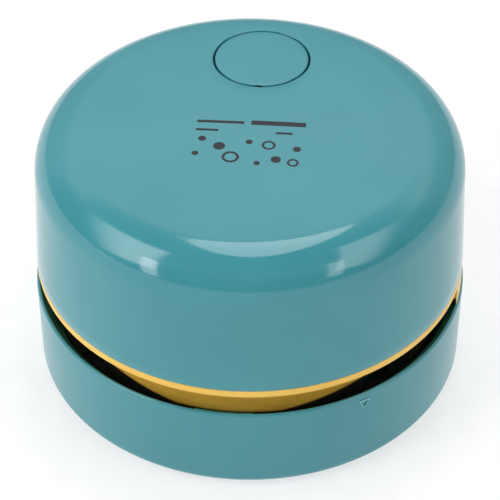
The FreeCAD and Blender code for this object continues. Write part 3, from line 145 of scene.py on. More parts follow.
def arcBlock(name, inner, outer, bottom, top, start, sweep, steps=12):  # degrees from +x
    clearSelection()
    middle = ((inner + outer) / 2 * mm, 0, (bottom + top) / 2 * mm)
    bpy.ops.mesh.primitive_plane_add(size=1, location=(0, 0, 0), rotation=(math.pi / 2, 0, 0))
    piece = bpy.context.object
    piece.name = piece.data.name = name
    piece.scale = ((outer - inner) * mm, (top - bottom) * mm, 1)
    piece.location = middle
    bpy.ops.object.transform_apply(location=True, rotation=True, scale=True)
    piece.rotation_euler = (0, 0, math.radians(start))
    bpy.ops.object.transform_apply(location=True, rotation=True, scale=True)
    openEdit(piece)
    bpy.ops.mesh.select_all(action="SELECT")
    bpy.ops.mesh.spin(
        steps=steps, angle=math.radians(sweep), center=(0, 0, 0), axis=(0, 0, -1)
    )
    return closeUp(piece)


def useModifier(piece, kind, **settings):
    pick(piece)
    modifier = piece.modifiers.new(kind.title(), kind)
    for key, value in settings.items():
        setattr(modifier, key, value)
    bpy.ops.object.modifier_apply(modifier=modifier.name)
    bpy.ops.object.shade_smooth_by_angle(angle=math.radians(35))


def join(piece, *others):
    clearSelection()
    for other in others:
        other.select_set(True)
    piece.select_set(True)
    bpy.context.view_layer.objects.active = piece
    bpy.ops.object.join()
    return piece


def carve(piece, cutters, operation="DIFFERENCE"):
    cutter = join(cutters[0], *cutters[1:]) if len(cutters) > 1 else cutters[0]
    useModifier(piece, "BOOLEAN", object=cutter, operation=operation, solver="EXACT")
    bpy.data.objects.remove(cutter)
    return piece


def placeCopy(source, place, turn=(0, 0, 0)):  # its own mesh, place in millimetres, turn in degrees
    piece = source.copy()
    piece.data = source.data.copy()
    bpy.context.collection.objects.link(piece)
    piece.location = Vector(place) * mm
    piece.rotation_euler = [math.radians(angle) for angle in turn]
    pick(piece)
    bpy.ops.object.transform_apply(location=True, rotation=True, scale=True)
    return piece


def easedCopy(name, node, ease=0.12):  # a merged copy of a solid with eased edges
    piece = bpy.data.objects.new(name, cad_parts[node].data.copy())
    piece.data.name = name
    bpy.context.collection.objects.link(piece)
    openEdit(piece)
    bpy.ops.mesh.select_all(action="SELECT")
    bpy.ops.mesh.remove_doubles(threshold=0.001 * mm)
    bpy.ops.mesh.dissolve_limited(angle_limit=math.radians(1))
    pick(piece)
    bpy.ops.object.shade_smooth_by_angle(angle=math.radians(35))
    if ease:
        useModifier(piece, "BEVEL", width=ease * mm, segments=2, limit_method="ANGLE",
                    angle_limit=math.radians(50))
    return piece


# finishes

def tone(red, green, blue):
    def linear(value):
        value /= 255
        return value / 12.92 if value <= 0.04045 else ((value + 0.055) / 1.055) ** 2.4
    return (linear(red), linear(green), linear(blue), 1)


def blankFinish(name):
    finish = bpy.data.materials.new(name)
    finish.use_nodes = True
    nodes, links = finish.node_tree.nodes, finish.node_tree.links
    place = nodes.new("ShaderNodeTexCoord")
    return finish, nodes, links, nodes["Principled BSDF"], place.outputs["Object"]


def addNoise(nodes, links, where, scale, detail=3):
    noise = nodes.new("ShaderNodeTexNoise")
    noise.inputs["Scale"].default_value = scale
    noise.inputs["Detail"].default_value = detail
    links.new(where, noise.inputs["Vector"])
    return noise.outputs["Fac"]


def addRamp(nodes, links, source, first, second, low=0.35, high=0.65):
    ramp = nodes.new("ShaderNodeValToRGB")
    ramp.color_ramp.elements[0].position = low
    ramp.color_ramp.elements[1].position = high
    ramp.color_ramp.elements[0].color = first
    ramp.color_ramp.elements[1].color = second
    links.new(source, ramp.inputs["Fac"])
    return ramp.outputs["Color"]


def addRange(nodes, links, source, low, high):
    spread = nodes.new("ShaderNodeMapRange")
    spread.inputs["From Min"].default_value = 0.3
    spread.inputs["From Max"].default_value = 0.7
    spread.inputs["To Min"].default_value = low
    spread.inputs["To Max"].default_value = high
    links.new(source, spread.inputs["Value"])
    return spread.outputs["Result"]


def addBump(nodes, links, source, shader, depth, strength=1.0):  # depth in millimetres
    bump = nodes.new("ShaderNodeBump")
    bump.inputs["Strength"].default_value = strength
    bump.inputs["Distance"].default_value = depth * mm
    links.new(source, bump.inputs["Height"])
    links.new(bump.outputs["Normal"], shader.inputs["Normal"])
    return bump


def moulded(name, first, second, gloss, grain=900, depth=0.002, cloud=60, metal=0.0, level=0.5):
    # slow colour clouding, fine surface grain and uneven gloss
    finish, nodes, links, shader, place = blankFinish(name)
    clouds = addNoise(nodes, links, place, cloud, 4)
    fine = addNoise(nodes, links, place, grain, 5)
    links.new(addRamp(nodes, links, clouds, first, second), shader.inputs["Base Color"])
    links.new(addRange(nodes, links, fine, gloss[0], gloss[1]), shader.inputs["Roughness"])
    addBump(nodes, links, fine, shader, depth)
    shader.inputs["Metallic"].default_value = metal
    shader.inputs["Specular IOR Level"].default_value = level
    return finish


def drawnMetal(name, first, second, gloss, grain=(40, 40, 900), depth=0.003):
    # fine lines along the pieces that the drawing leaves
    finish, nodes, links, shader, place = blankFinish(name)
    stretch = nodes.new("ShaderNodeMapping")
    stretch.inputs["Scale"].default_value = grain
    links.new(place, stretch.inputs["Vector"])
    lines = addNoise(nodes, links, stretch.outputs["Vector"], 6, 4)
    stains = addNoise(nodes, links, place, 140, 4)
    links.new(addRamp(nodes, links, stains, first, second), shader.inputs["Base Color"])
    links.new(addRange(nodes, links, lines, gloss[0], gloss[1]), shader.inputs["Roughness"])
    addBump(nodes, links, lines, shader, depth)
    shader.inputs["Metallic"].default_value = 1.0
    return finish


def pebbled(name, first, second, gloss, pebble=1400, depth=0.03, cloud=90):
    # rubber, foam and spark-textured mouldings
    finish, nodes, links, shader, place = blankFinish(name)
    cells = nodes.new("ShaderNodeTexVoronoi")
    cells.inputs["Scale"].default_value = pebble
    links.new(place, cells.inputs["Vector"])
    clouds = addNoise(nodes, links, place, cloud, 5)
    links.new(addRamp(nodes, links, clouds, first, second), shader.inputs["Base Color"])
    links.new(addRange(nodes, links, clouds, gloss[0], gloss[1]), shader.inputs["Roughness"])
    addBump(nodes, links, cells.outputs["Distance"], shader, depth)
    return finish


def ringed(name, first, second, gloss, pitch=0.35, depth=0.05, metal=0.0):  # bands along z
    finish, nodes, links, shader, place = blankFinish(name)
    bands = nodes.new("ShaderNodeTexWave")
    bands.bands_direction = "Z"
    bands.inputs["Scale"].default_value = 0.314 / (pitch * mm)
    bands.inputs["Distortion"].default_value = 0.4
    links.new(place, bands.inputs["Vector"])
    clouds = addNoise(nodes, links, place, 200, 4)
    links.new(addRamp(nodes, links, bands.outputs["Fac"], first, second), shader.inputs["Base Color"])
    links.new(addRange(nodes, links, clouds, gloss[0], gloss[1]), shader.inputs["Roughness"])
    addBump(nodes, links, bands.outputs["Fac"], shader, depth)
    shader.inputs["Metallic"].default_value = metal
    return finish


def dress(piece, *finishes):
    piece.data.materials.clear()
    for finish in finishes:
        piece.data.materials.append(finish)


def settle(piece, finish, body, slot, *nodes):  # no body where the piece bends between two
    dress(piece, finish)
    if body:
        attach(piece, body)
    if nodes:
        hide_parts(*nodes)
    return piece


gloss = {
    "shell": moulded("glossTealShell", tone(61, 140, 150), tone(65, 144, 154), (0.07, 0.1), 700, 0.0004),
    "button": moulded("glossTealButton", tone(61, 140, 150), tone(65, 144, 154), (0.12, 0.16),
                      700, 0.0006),
    "base": moulded("satinTealBase", tone(60, 138, 148), tone(64, 142, 152), (0.2, 0.26), 900, 0.0003),
    # the mark's lighter teal is a painted highlight: the mark is the same plastic as the base, made
    # lighter where light catches its raised outline
    "mark": moulded("satinTealMarkPaintedHighlight", tone(92, 168, 176), tone(98, 174, 182), (0.2, 0.26), 900, 0.0003),
    "yellow": moulded("satinYellow", tone(236, 188, 76), tone(242, 196, 86), (0.28, 0.36), 1100, 0.0015),
    "ink": moulded("padPrintedInk", tone(34, 36, 42), tone(42, 44, 50), (0.35, 0.5), 2600, 0.001,
                   level=0.3),
}
print("stage 2: main finishes made")


# top shell, one skin from the button hole over the crown and back inside

shell = {
    "radius": 41.5, "bottom": 25.05, "top": 54.2, "crown": 1000.0, "draft": 2.14,
    "cornerX": 32.338, "cornerZ": 45.273, "corner": 8.4, "wall": 2.0,
    "holeY": 21.4, "hole": 9.45, "holeEdge": 0.25, "collar": 10.65, "collarBottom": 50.3,
    "steps": 192, "crownRings": 18, "cornerRings": 22, "roofRings": 12, "footEdge": 0.15,
    "footShare": 0.3, "innerGap": 0.1, "holeRows": (-2.0, -0.8), "wallRows": (41.0, 36.0, 31.0, 27.5),
}
boss = {
    "x": 30.5, "y": 9, "steps": 32,
    "corners": [(1.1, 33.05, 0), (1.1, 26.65, 0), (3.2, 26.65, 0.2), (3.2, 52.6, 0)],
}


def crownHeight(x, y, sink=0.0):  # in millimetres
    reach = shell["crown"] - sink
    return shell["top"] - shell["crown"] + math.sqrt(reach * reach - x * x - y * y)


def dropOnCrown(piece, sink=0.0, lift=0.0):  # the selected points
    cage = bmesh.from_edit_mesh(piece.data)
    for point in cage.verts:
        if point.select:
            height = crownHeight(point.co.x / mm, point.co.y / mm, sink)
            point.co.z = (height + lift) * mm
    bmesh.update_edit_mesh(piece.data)


def easedEdge(edge):  # how far inward and how far down, round a quarter turn
    turns = [math.pi / 2 * k / quarterSteps for k in range(1, quarterSteps + 1)]
    return [(edge * (1 - math.cos(turn)), edge * (math.sin(turn) - 1)) for turn in turns]


def buildShell():
    lean = shell["draft"]
    wide = shell["crown"] / (shell["crown"] - shell["corner"]) * shell["cornerX"]
    steep = math.degrees(math.acos(wide / shell["crown"]))
    rows = []  # centre y, radius, height or None on a crown, sink, lift
    y, hole, edge = shell["holeY"], shell["hole"], shell["holeEdge"]
    rows.append((y, hole, shell["collarBottom"] + shell["innerGap"], 0, 0))
    for lift in (*shell["holeRows"], -edge):
        rows.append((y, hole, None, 0, lift))
    for wider, lift in easedEdge(edge):
        rows.append((y, hole + wider, None, 0, lift))
    for k in range(1, shell["crownRings"] + 1):
        share = k / shell["crownRings"]
        radius = hole + edge + (wide - hole - edge) * share
        rows.append((y * (1 - share), radius, None, 0, 0))
    for k in range(1, shell["cornerRings"] + 1):
        tilt = math.radians(steep + (lean - steep) * k / shell["cornerRings"])
        radius = shell["cornerX"] + shell["corner"] * math.cos(tilt)
        rows.append((0, radius, shell["cornerZ"] + shell["corner"] * math.sin(tilt), 0, 0))
    slope = math.tan(math.radians(lean))
    bottom, foot = shell["bottom"], shell["footEdge"]
    for height in (*shell["wallRows"], bottom + foot):
        rows.append((0, shell["radius"] - (height - bottom) * slope, height, 0, 0))
    small = foot * shell["footShare"]
    rows.append((0, shell["radius"] - small, bottom + small, 0, 0))
    rows.append((0, shell["radius"] - foot, bottom, 0, 0))
    rows.append((0, shell["radius"] - shell["wall"], bottom, 0, 0))
    soft = shell["corner"] - shell["wall"]
    for k in range(shell["cornerRings"], -1, -2):
        tilt = math.radians(steep + (lean - steep) * k / shell["cornerRings"])
        radius = shell["cornerX"] + soft * math.cos(tilt)
        rows.append((0, radius, shell["cornerZ"] + soft * math.sin(tilt), 0, 0))
    start = rows[-1][1]
    for k in range(1, shell["roofRings"] + 1):
        share = k / shell["roofRings"]
        radius = start + (shell["collar"] - start) * share
        rows.append((y * share, radius, None, shell["wall"], 0))
    rows.append((y, shell["collar"], shell["collarBottom"], 0, 0))
    rows.append((y, hole + shell["innerGap"], shell["collarBottom"], 0, 0))
    rows.append(rows[0])
    level = lambda row: row[2] if row[2] is not None else shell["bottom"]
    piece = firstRing("topShell", (0, y), (rows[0][1], level(rows[0])), shell["steps"])
    for old, new in zip(rows, rows[1:]):
        nextRing((0, new[0]), (old[1], level(old)), (new[1], level(new)), (0, new[0] - old[0]))
        if new[2] is None:
            dropOnCrown(piece, new[3], new[4])
        else:
            levelRing(piece, new[2])
    return closeUp(piece, 40)


def levelRing(piece, height):
    cage = bmesh.from_edit_mesh(piece.data)
    for point in cage.verts:
        if point.select:
            point.co.z = height * mm
    bmesh.update_edit_mesh(piece.data)


topShell = buildShell()
bosses = [
    turnSolid("shellBoss", boss["corners"], boss["steps"], (boss["x"] * side, boss["y"] * end))
    for side in (-1, 1) for end in (-1, 1)
]
join(topShell, *bosses)
settle(topShell, gloss["shell"], "upper", "shell_teal", "top_shell")
print("stage 3: top shell built")


# power button, flush with the crown

button = {
    "y": 21.4, "radius": 9.05, "inner": 7.85, "flange": 10.3, "flangeBottom": 49.1,
    "flangeTop": 50.3, "ceiling": 51.62, "stem": 1.6, "stemEnd": 47.0, "edge": 0.2, "steps": 128,
    "sideLift": -1.0, "crownShares": (0.88, 0.76, 0.64, 0.52, 0.4, 0.28, 0.16, 0.06, 0.001),
    "flatTrim": 0.001,
}


def buildButton():
    centre = (0, button["y"])
    edge = button["edge"]
    rows = [
        (tip, button["stemEnd"]), (button["stem"], button["stemEnd"]),
        (button["stem"], button["ceiling"]), (button["inner"], button["ceiling"]),
        (button["inner"], button["flangeBottom"]), (button["flange"], button["flangeBottom"]),
        (button["flange"], button["flangeTop"]), (button["radius"], button["flangeTop"]),
    ]
    piece = firstRing("powerButton", centre, rows[0], button["steps"])
    bpy.ops.mesh.edge_face_add()
    for old, new in zip(rows, rows[1:]):
        nextRing(centre, old, new)
    last = rows[-1]
    crownRows = [(button["radius"], button["sideLift"]), (button["radius"], -edge)]
    crownRows += [(button["radius"] - inward, lift) for inward, lift in easedEdge(edge)]
    wide = button["radius"] - edge
    crownRows += [(wide * share, 0) for share in button["crownShares"]]
    for radius, lift in crownRows:
        nextRing(centre, last, (radius, last[1]))
        dropOnCrown(piece, 0, lift)
        last = (radius, last[1])
    closeUp(piece, 40)
    openEdit(piece)
    bpy.ops.mesh.select_all(action="SELECT")
    flat = button["y"] - button["radius"] - button["flatTrim"]
    bpy.ops.mesh.bisect(
        plane_co=(0, flat * mm, 0), plane_no=(0, -1, 0), use_fill=True, clear_outer=True
    )
    return closeUp(piece, 40)


powerButton = settle(buildButton(), gloss["button"], "button", "button_teal", "power_button")
print("stage 4: power button built")


# base tray

tray = {
    "corners": [
        (8.0, 4.2, 0.3), (17.0, 4.2, 0), (17.0, 0.8, 0.3), (41.6, 0.8, 2.0), (41.86, 19.2, 0.45),
        (41.31, 19.2, 0.08), (39.86, 17.4, 0.2), (39.86, 12.2, 0.15), (35.86, 12.2, 0.2),
        (35.86, 10.8, 0.2), (39.86, 6.8, 0.3), (39.86, 2.8, 0.6), (19.0, 2.8, 0.3), (19.0, 6.2, 0.6),
        (9.4, 6.2, 0.3), (9.4, 12.0, 0.3), (8.0, 12.0, 0.3),
    ],
    "steps": 192, "hooks": (30, 150, 270), "hookInner": 38.3, "hookOuter": 40.6, "hookEase": 0.15,
    "hookBottom": 15.2, "hookTop": 16.5, "hookSweep": 14,
    "stopBottom": 13.4, "stopLead": 9.5, "stopSweep": 3, "stopSteps": 3,
    "feet": 21.2132, "pocket": [(4.0, -1, 0), (4.0, 1.4, 0)], "pocketSteps": 48,
    "markTurn": 36.6, "markTop": 17.8, "markHalf": 1.35, "markHeight": 2.6, "markLine": 0.4,
    "markFace": 42.14, "markDepth": 0.6, "markEase": 0.18, "markStart": 41.9,
}


def buildMark():  # a raised outline triangle that points down
    clearSelection()
    bpy.ops.mesh.primitive_circle_add(
        vertices=3, radius=1, fill_type="NGON", rotation=(0, 0, math.pi)
    )
    piece = bpy.context.object
    piece.name = piece.data.name = "alignmentMark"
    bpy.ops.object.transform_apply(location=True, rotation=True, scale=True)
    half, high, deep = tray["markHalf"], tray["markHeight"], tray["markDepth"]
    piece.scale = (half / math.sin(math.radians(60)) * mm, high / 1.5 * mm, 1)
    piece.rotation_euler = (math.pi / 2, 0, 0)
    piece.location = (0, -(tray["markFace"] - deep) * mm, (tray["markTop"] - high / 3) * mm)
    bpy.ops.object.transform_apply(location=True, rotation=True, scale=True)
    openEdit(piece, "FACE")
    bpy.ops.mesh.select_all(action="SELECT")
    bpy.ops.mesh.inset(thickness=tray["markLine"] * mm, use_even_offset=True)
    bpy.ops.mesh.delete(type="FACE")
    bpy.ops.mesh.select_all(action="SELECT")
    bpy.ops.mesh.extrude_region_move(TRANSFORM_OT_translate={"value": (0, -deep * mm, 0)})
    closeUp(piece)
    useModifier(piece, "BEVEL", width=tray["markEase"] * mm, segments=1, limit_method="ANGLE")
    piece.rotation_euler = (0, 0, math.radians(tray["markTurn"]))
    pick(piece)
    bpy.ops.object.transform_apply(location=True, rotation=True, scale=True)
    return piece


def buildTray():
    piece = turnPiece("baseTray", tray["corners"], tray["steps"], arcSteps=8, angle=35)
    reach = tray["feet"]
    pockets = [
        turnSolid("footPocket", tray["pocket"], tray["pocketSteps"], (a * reach, b * reach))
        for a in (-1, 1) for b in (-1, 1)
    ]
    carve(piece, pockets)
    inner, outer, top = tray["hookInner"], tray["hookOuter"], tray["hookTop"]
    hooks = []
    for turn in tray["hooks"]:
        hooks.append(
            arcBlock("lockHook", inner, outer, tray["hookBottom"], top,
                     turn - tray["hookSweep"] / 2, tray["hookSweep"])
        )
        hooks.append(
            arcBlock("lockStop", inner, outer, tray["stopBottom"], top,
                     turn - tray["stopLead"], tray["stopSweep"], tray["stopSteps"])
        )
    for hook in hooks:
        useModifier(hook, "BEVEL", width=tray["hookEase"] * mm, segments=2, limit_method="ANGLE")
    join(piece, buildMark(), *hooks)
    return piece


baseTray = settle(buildTray(), gloss["base"], "base", "base_teal", "base_tray")
# the mark's faces get the lighter teal, a painted highlight on its raised outline
dress(baseTray, gloss["base"], gloss["mark"])
for face in baseTray.data.polygons:  # only the mark stands out past the wall
    if math.hypot(face.center.x, face.center.y) > tray["markStart"] * mm:
        face.material_index = 1
print("stage 5: base tray built")


# vent ring: the bright band, the skirt with its windows, the pillars

vent = {
    "corners": [
        (36.6, 13.0, 0.2), (38.0, 13.0, 0.2), (38.0, 17.3, 0), (38.0, 23.5, 0.3), (41.5, 23.5, 0.25),
        (41.5, 25.05, 0.12), (36.6, 25.05, 0),
    ],
    "steps": 192, "top": 25.05, "ease": 0.12,
    "windows": ((40.0, 9.5), (58.5, 19.5)),  # where each starts from the front or back, and its sweep
    "window": (36.0, 38.6, 15.3, 23.2), "windowSteps": 10,  # inner, outer, bottom, top
    "pillars": (0, 180), "pillar": (36.7, 41.48, 19.2, 24.9), "pillarSweep": 20, "pillarSteps": 14,
    "lugs": (50, 170, 290), "lug": (37.0, 39.4, 13.4, 14.9), "lugSweep": 12, "lugSteps": 8,
    "earX": 30.5, "earY": 9.0, "earRadius": 3.2, "earSoft": 0.2, "earHole": 1.4, "earBottom": 23.45,
    "earBridge": 6.6, "earSteps": 32,
    "skirtTop": 23.4, "skirtReach": 39.5,
    "shadeStart": 15, "shadeEnd": 50, "shadeLow": 16.5, "shadeHigh": 20.7, "shadeSoft": 0.25,
}


def buildEar(side, end):
    x, y = vent["earX"] * side, vent["earY"] * end
    low, high, radius, bore = vent["earBottom"], vent["top"], vent["earRadius"], vent["earHole"]
    corners = [(radius, low, vent["earSoft"]), (radius, high, 0)]
    ear = turnSolid("ventEar", corners, vent["earSteps"], (x, y))
    clearSelection()
    middle = ((x + vent["earBridge"] / 2 * side) * mm, y * mm, (low + high) / 2 * mm)
    bpy.ops.mesh.primitive_cube_add(size=1, location=middle)
    bridge = bpy.context.object
    bridge.scale = (vent["earBridge"] * mm, radius * 2 * mm, (high - low) * mm)
    bpy.ops.object.transform_apply(location=True, rotation=True, scale=True)
    carve(ear, [bridge], "UNION")
    hole = turnSolid("earHole", [(bore, low - 1, 0), (bore, high + 1, 0)], vent["earSteps"], (x, y))
    return carve(ear, [hole])


def buildVent():
    piece = turnPiece("ventRing", vent["corners"], vent["steps"], arcSteps=5, angle=35)
    cutters = []
    for first, sweep in vent["windows"]:
        for middle in (-90, 90):
            for start in (middle + first, middle - first - sweep):
                cutters.append(
                    arcBlock("ventWindow", *vent["window"], start, sweep, vent["windowSteps"])
                )
    carve(piece, cutters)
    extras = []
    for name, kind in (("ventPillar", "pillar"), ("lockLug", "lug")):
        sweep = vent[kind + "Sweep"]
        for turn in vent[kind + "s"]:
            extras.append(
                arcBlock(name, *vent[kind], turn - sweep / 2, sweep, vent[kind + "Steps"])
            )
    for extra in extras:
        useModifier(extra, "BEVEL", width=vent["ease"] * mm, segments=2, limit_method="ANGLE")
    extras += [buildEar(side, end) for side in (-1, 1) for end in (-1, 1)]
    join(piece, *extras)
    return piece


def skirtFinish():  # yellow at front and back, black below a line that climbs toward the sides
    # the black is painted where the gap under the flange looks dark, below a line that climbs toward the
    # sides
    finish, nodes, links, shader, place = blankFinish("skirtBlackBelowLine")
    fine = addNoise(nodes, links, place, 1100, 5)
    yellow = addRamp(nodes, links, fine, tone(226, 178, 68), tone(236, 188, 78))
    black = addRamp(nodes, links, fine, tone(20, 19, 18), tone(30, 28, 26))
    split = nodes.new("ShaderNodeSeparateXYZ")
    links.new(place, split.inputs["Vector"])

    def mathNode(kind, *sources):
        node = nodes.new("ShaderNodeMath")
        node.operation = kind
        for socket, source in zip(node.inputs, sources):
            links.new(source, socket)
        return node.outputs["Value"]

    across = mathNode("ABSOLUTE", split.outputs["X"])
    along = mathNode("ABSOLUTE", split.outputs["Y"])
    line = nodes.new("ShaderNodeMapRange")
    line.inputs["From Min"].default_value = math.radians(vent["shadeStart"])
    line.inputs["From Max"].default_value = math.radians(vent["shadeEnd"])
    line.inputs["To Min"].default_value = vent["shadeLow"] * mm
    line.inputs["To Max"].default_value = vent["shadeHigh"] * mm
    links.new(mathNode("ARCTAN2", across, along), line.inputs["Value"])
    edge = nodes.new("ShaderNodeMapRange")
    edge.inputs["From Min"].default_value = -vent["shadeSoft"] * mm
    edge.inputs["From Max"].default_value = vent["shadeSoft"] * mm
    links.new(mathNode("SUBTRACT", split.outputs["Z"], line.outputs["Result"]), edge.inputs["Value"])
    colour = nodes.new("ShaderNodeMix")
    colour.data_type = "RGBA"
    links.new(edge.outputs["Result"], colour.inputs["Factor"])
    links.new(black, colour.inputs["A"])
    links.new(yellow, colour.inputs["B"])
    links.new(colour.outputs["Result"], shader.inputs["Base Color"])
    links.new(addRange(nodes, links, fine, 0.3, 0.4), shader.inputs["Roughness"])
    addBump(nodes, links, fine, shader, 0.0015)
    return finish


ventRing = settle(buildVent(), gloss["yellow"], "upper", "vent_yellow", "vent_ring")
dress(ventRing, gloss["yellow"], skirtFinish())
for face in ventRing.data.polygons:  # all that lies below the flange and inside its edge
    reach = math.hypot(face.center.x, face.center.y) / mm
    if face.center.z / mm < vent["skirtTop"] and reach < vent["skirtReach"]:
        face.material_index = 1
print("stage 6: vent ring built")


# printed motifs on the crown, thin pads of ink: dots, rings and short bars

motifs = {
    "thick": 0.03, "sink": 0.01,
    "dots": [(-8.4, -5.0, 0.75), (-5.0, -6.9, 1.1), (-9.2, -9.4, 0.62), (0.4, -5.2, 0.66),
             (5.8, -9.8, 0.95), (9.4, -6.4, 0.75), (2.4, -11.2, 0.58)],
    "rings": [(-2.6, -9.9, 1.6, 1.1), (4.1, -5.8, 1.3, 0.85), (9.0, -10.4, 1.1, 0.66)],
    "bars": [(-5.5, 0.3, 8.8, 0.75, 2), (5.3, 0.8, 10.2, 1.3, 2), (-7.8, -2.3, 4.2, 0.6, 2),
             (6.6, -2.0, 3.2, 0.6, 2)],
}


def inkPad(piece):  # a flat outline becomes a thin pad that lies on the crown
    openEdit(piece, "FACE")
    bpy.ops.mesh.select_all(action="SELECT")
    dropOnCrown(piece, 0, -motifs["sink"])
    bpy.ops.mesh.extrude_region_move(TRANSFORM_OT_translate={"value": (0, 0, motifs["thick"] * mm)})
    return closeUp(piece, 40)


def inkRing(x, y, outer, inner):
    piece = firstRing("inkRing", (x, y), (outer, shell["top"]), 40)
    nextRing((x, y), (outer, 0), (inner, 0))
    return inkPad(piece)


def inkDot(x, y, radius):
    piece = firstRing("inkDot", (x, y), (radius, shell["top"]), 32)
    bpy.ops.mesh.edge_face_add()
    return inkPad(piece)


def inkBar(x, y, long, wide, turn):
    clearSelection()
    bpy.ops.mesh.primitive_grid_add(x_subdivisions=16, y_subdivisions=1, size=1)
    piece = bpy.context.object
    piece.name = piece.data.name = "inkBar"
    piece.scale = (long * mm, wide * mm, 1)
    piece.rotation_euler = (0, 0, math.radians(turn))
    piece.location = (x * mm, y * mm, shell["top"] * mm)
    bpy.ops.object.transform_apply(location=True, rotation=True, scale=True)
    return inkPad(piece)


pads = [inkDot(*dot) for dot in motifs["dots"]]
pads += [inkRing(*ring) for ring in motifs["rings"]]
pads += [inkBar(*bar) for bar in motifs["bars"]]
crownPrint = join(pads[0], *pads[1:])
crownPrint.name = crownPrint.data.name = "crownPrint"
settle(crownPrint, gloss["ink"], "upper", "shell_teal")
print("stage 7: printed motifs laid")


# finishes of the inner parts

inside = {
    "frame": pebbled("sparkBlackFrame", tone(34, 34, 36), tone(42, 42, 44), (0.45, 0.6), 1500, 0.02),
    "door": pebbled("sparkBlackDoor", tone(40, 40, 42), tone(48, 48, 50), (0.4, 0.55), 1500, 0.02),
    "fan": moulded("mouldedWhiteFan", tone(225, 226, 222), tone(234, 234, 230), (0.3, 0.4)),
    "mesh": pebbled("wovenFilterThread", tone(214, 214, 208), tone(232, 232, 228), (0.5, 0.7),
                    5000, 0.02),
    "frameGrey": moulded("satinGreyFilterFrame", tone(118, 122, 126), tone(128, 132, 136), (0.35, 0.45)),
    "seal": pebbled("softSealRubber", tone(38, 38, 40), tone(50, 50, 52), (0.55, 0.75), 2200, 0.02),
    "foot": pebbled("footRubber", tone(46, 46, 48), tone(58, 58, 60), (0.6, 0.8), 1800, 0.03),
    "bristle": moulded("cutNylonBristle", tone(40, 42, 46), tone(66, 68, 72), (0.35, 0.5),
                       3000, 0.002, 900),
    "screw": drawnMetal("zincScrewSteel", tone(176, 178, 180), tone(200, 202, 204), (0.22, 0.38)),
    "can": drawnMetal("drawnMotorSteel", tone(170, 172, 174), tone(192, 194, 196), (0.24, 0.4)),
    "shaft": drawnMetal("groundShaftSteel", tone(190, 192, 194), tone(206, 208, 210), (0.1, 0.2)),
    "core": ringed("stackedCoreSteel", tone(96, 98, 102), tone(142, 144, 148), (0.3, 0.45),
                   0.35, 0.03, 1.0),
    "magnet": pebbled("sinteredMagnet", tone(44, 44, 46), tone(60, 60, 62), (0.5, 0.7), 2600, 0.01),
    "bush": pebbled("sinteredBronze", tone(150, 112, 62), tone(174, 134, 80), (0.35, 0.5), 3200, 0.01),
    "contact": drawnMetal("nickelContact", tone(196, 194, 186), tone(214, 212, 204), (0.16, 0.3)),
    "copper": drawnMetal("turnedCopper", tone(196, 122, 84), tone(214, 142, 104), (0.2, 0.34)),
    "cap": moulded("mouldedEndCap", tone(228, 226, 214), tone(236, 234, 224), (0.35, 0.5)),
    "cell": moulded("plainCellSleeve", tone(66, 76, 92), tone(74, 84, 100), (0.16, 0.24)),
    "cellBand": moulded("paleCellBand", tone(196, 200, 204), tone(206, 210, 214), (0.2, 0.3)),
    "board": pebbled("solderMask", tone(26, 92, 58), tone(34, 106, 68), (0.25, 0.4), 900, 0.01),
    "switch": moulded("mouldedSwitch", tone(36, 36, 38), tone(44, 44, 46), (0.35, 0.45)),
    "plunger": moulded("mouldedPlunger", tone(226, 226, 222), tone(236, 236, 232), (0.3, 0.4)),
    "spring": drawnMetal("drawnSpringWire", tone(186, 188, 190), tone(206, 208, 210), (0.15, 0.28)),
    "leadRed": moulded("redLeadSleeve", tone(176, 34, 30), tone(190, 42, 36), (0.35, 0.5)),
    "leadBlack": moulded("blackLeadSleeve", tone(30, 30, 32), tone(38, 38, 40), (0.35, 0.5)),
    "leadYellow": moulded("yellowLeadSleeve", tone(220, 176, 40), tone(232, 190, 54), (0.35, 0.5)),
}

kept = {  # solids that show as they are, and their finish
    "plate_contacts": "contact", "motor_magnets": "magnet", "motor_end_cap": "cap",
    "motor_bushes": "bush", "motor_terminals": "contact", "motor_armature": "core",
    "motor_commutator": "copper", "motor_clamp": "can", "switch_board": "board",
    "switch_body": "switch", "switch_plunger": "plunger", "clamp_screws": "screw",
    "board_screws": "screw",
}
for node, look in kept.items():
    dress(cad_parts[node], inside[look])
print("stage 8: inner parts dressed")


# glide feet, brush ring and its tufts, dust seal

foot = {
    "steps": 48,
    "corners": [(2.2, 0.3, 0.1), (2.6, 0.0, 0.15), (4.0, 0.0, 0.25), (4.0, 1.4, 0)],
}
oneFoot = turnSolid("glideFeet", foot["corners"], foot["steps"])
feet = [
    placeCopy(oneFoot, (a * tray["feet"], b * tray["feet"], 0)) for a in (-1, 1) for b in (-1, 1)
]
bpy.data.objects.remove(oneFoot)
glideFeet = join(feet[0], *feet[1:])
settle(glideFeet, inside["foot"], "base", "foot_rubber", "glide_feet")

brush = {
    "ring": [(9.6, 2.2, 0.3), (16.7, 2.2, 0.4), (16.7, 4.2, 0.2), (9.6, 4.2, 0.2)],
    "collar": [(0.58, 2.02, 0.05), (0.84, 2.02, 0.08), (0.84, 2.4, 0), (0.58, 2.4, 0)],
    "rows": [(11.4, 20), (14.4, 26)], "strands": [(0.0, 1), (0.23, 6), (0.46, 12)],
    "strandRadius": 0.1, "strandSides": 5, "tip": 0.1, "tipSpread": 0.12, "tipShare": 0.7,
    "root": 2.6, "splay": 0.16, "bend": 0.35, "twist": 25, "ringSteps": 96, "collarSteps": 16,
}


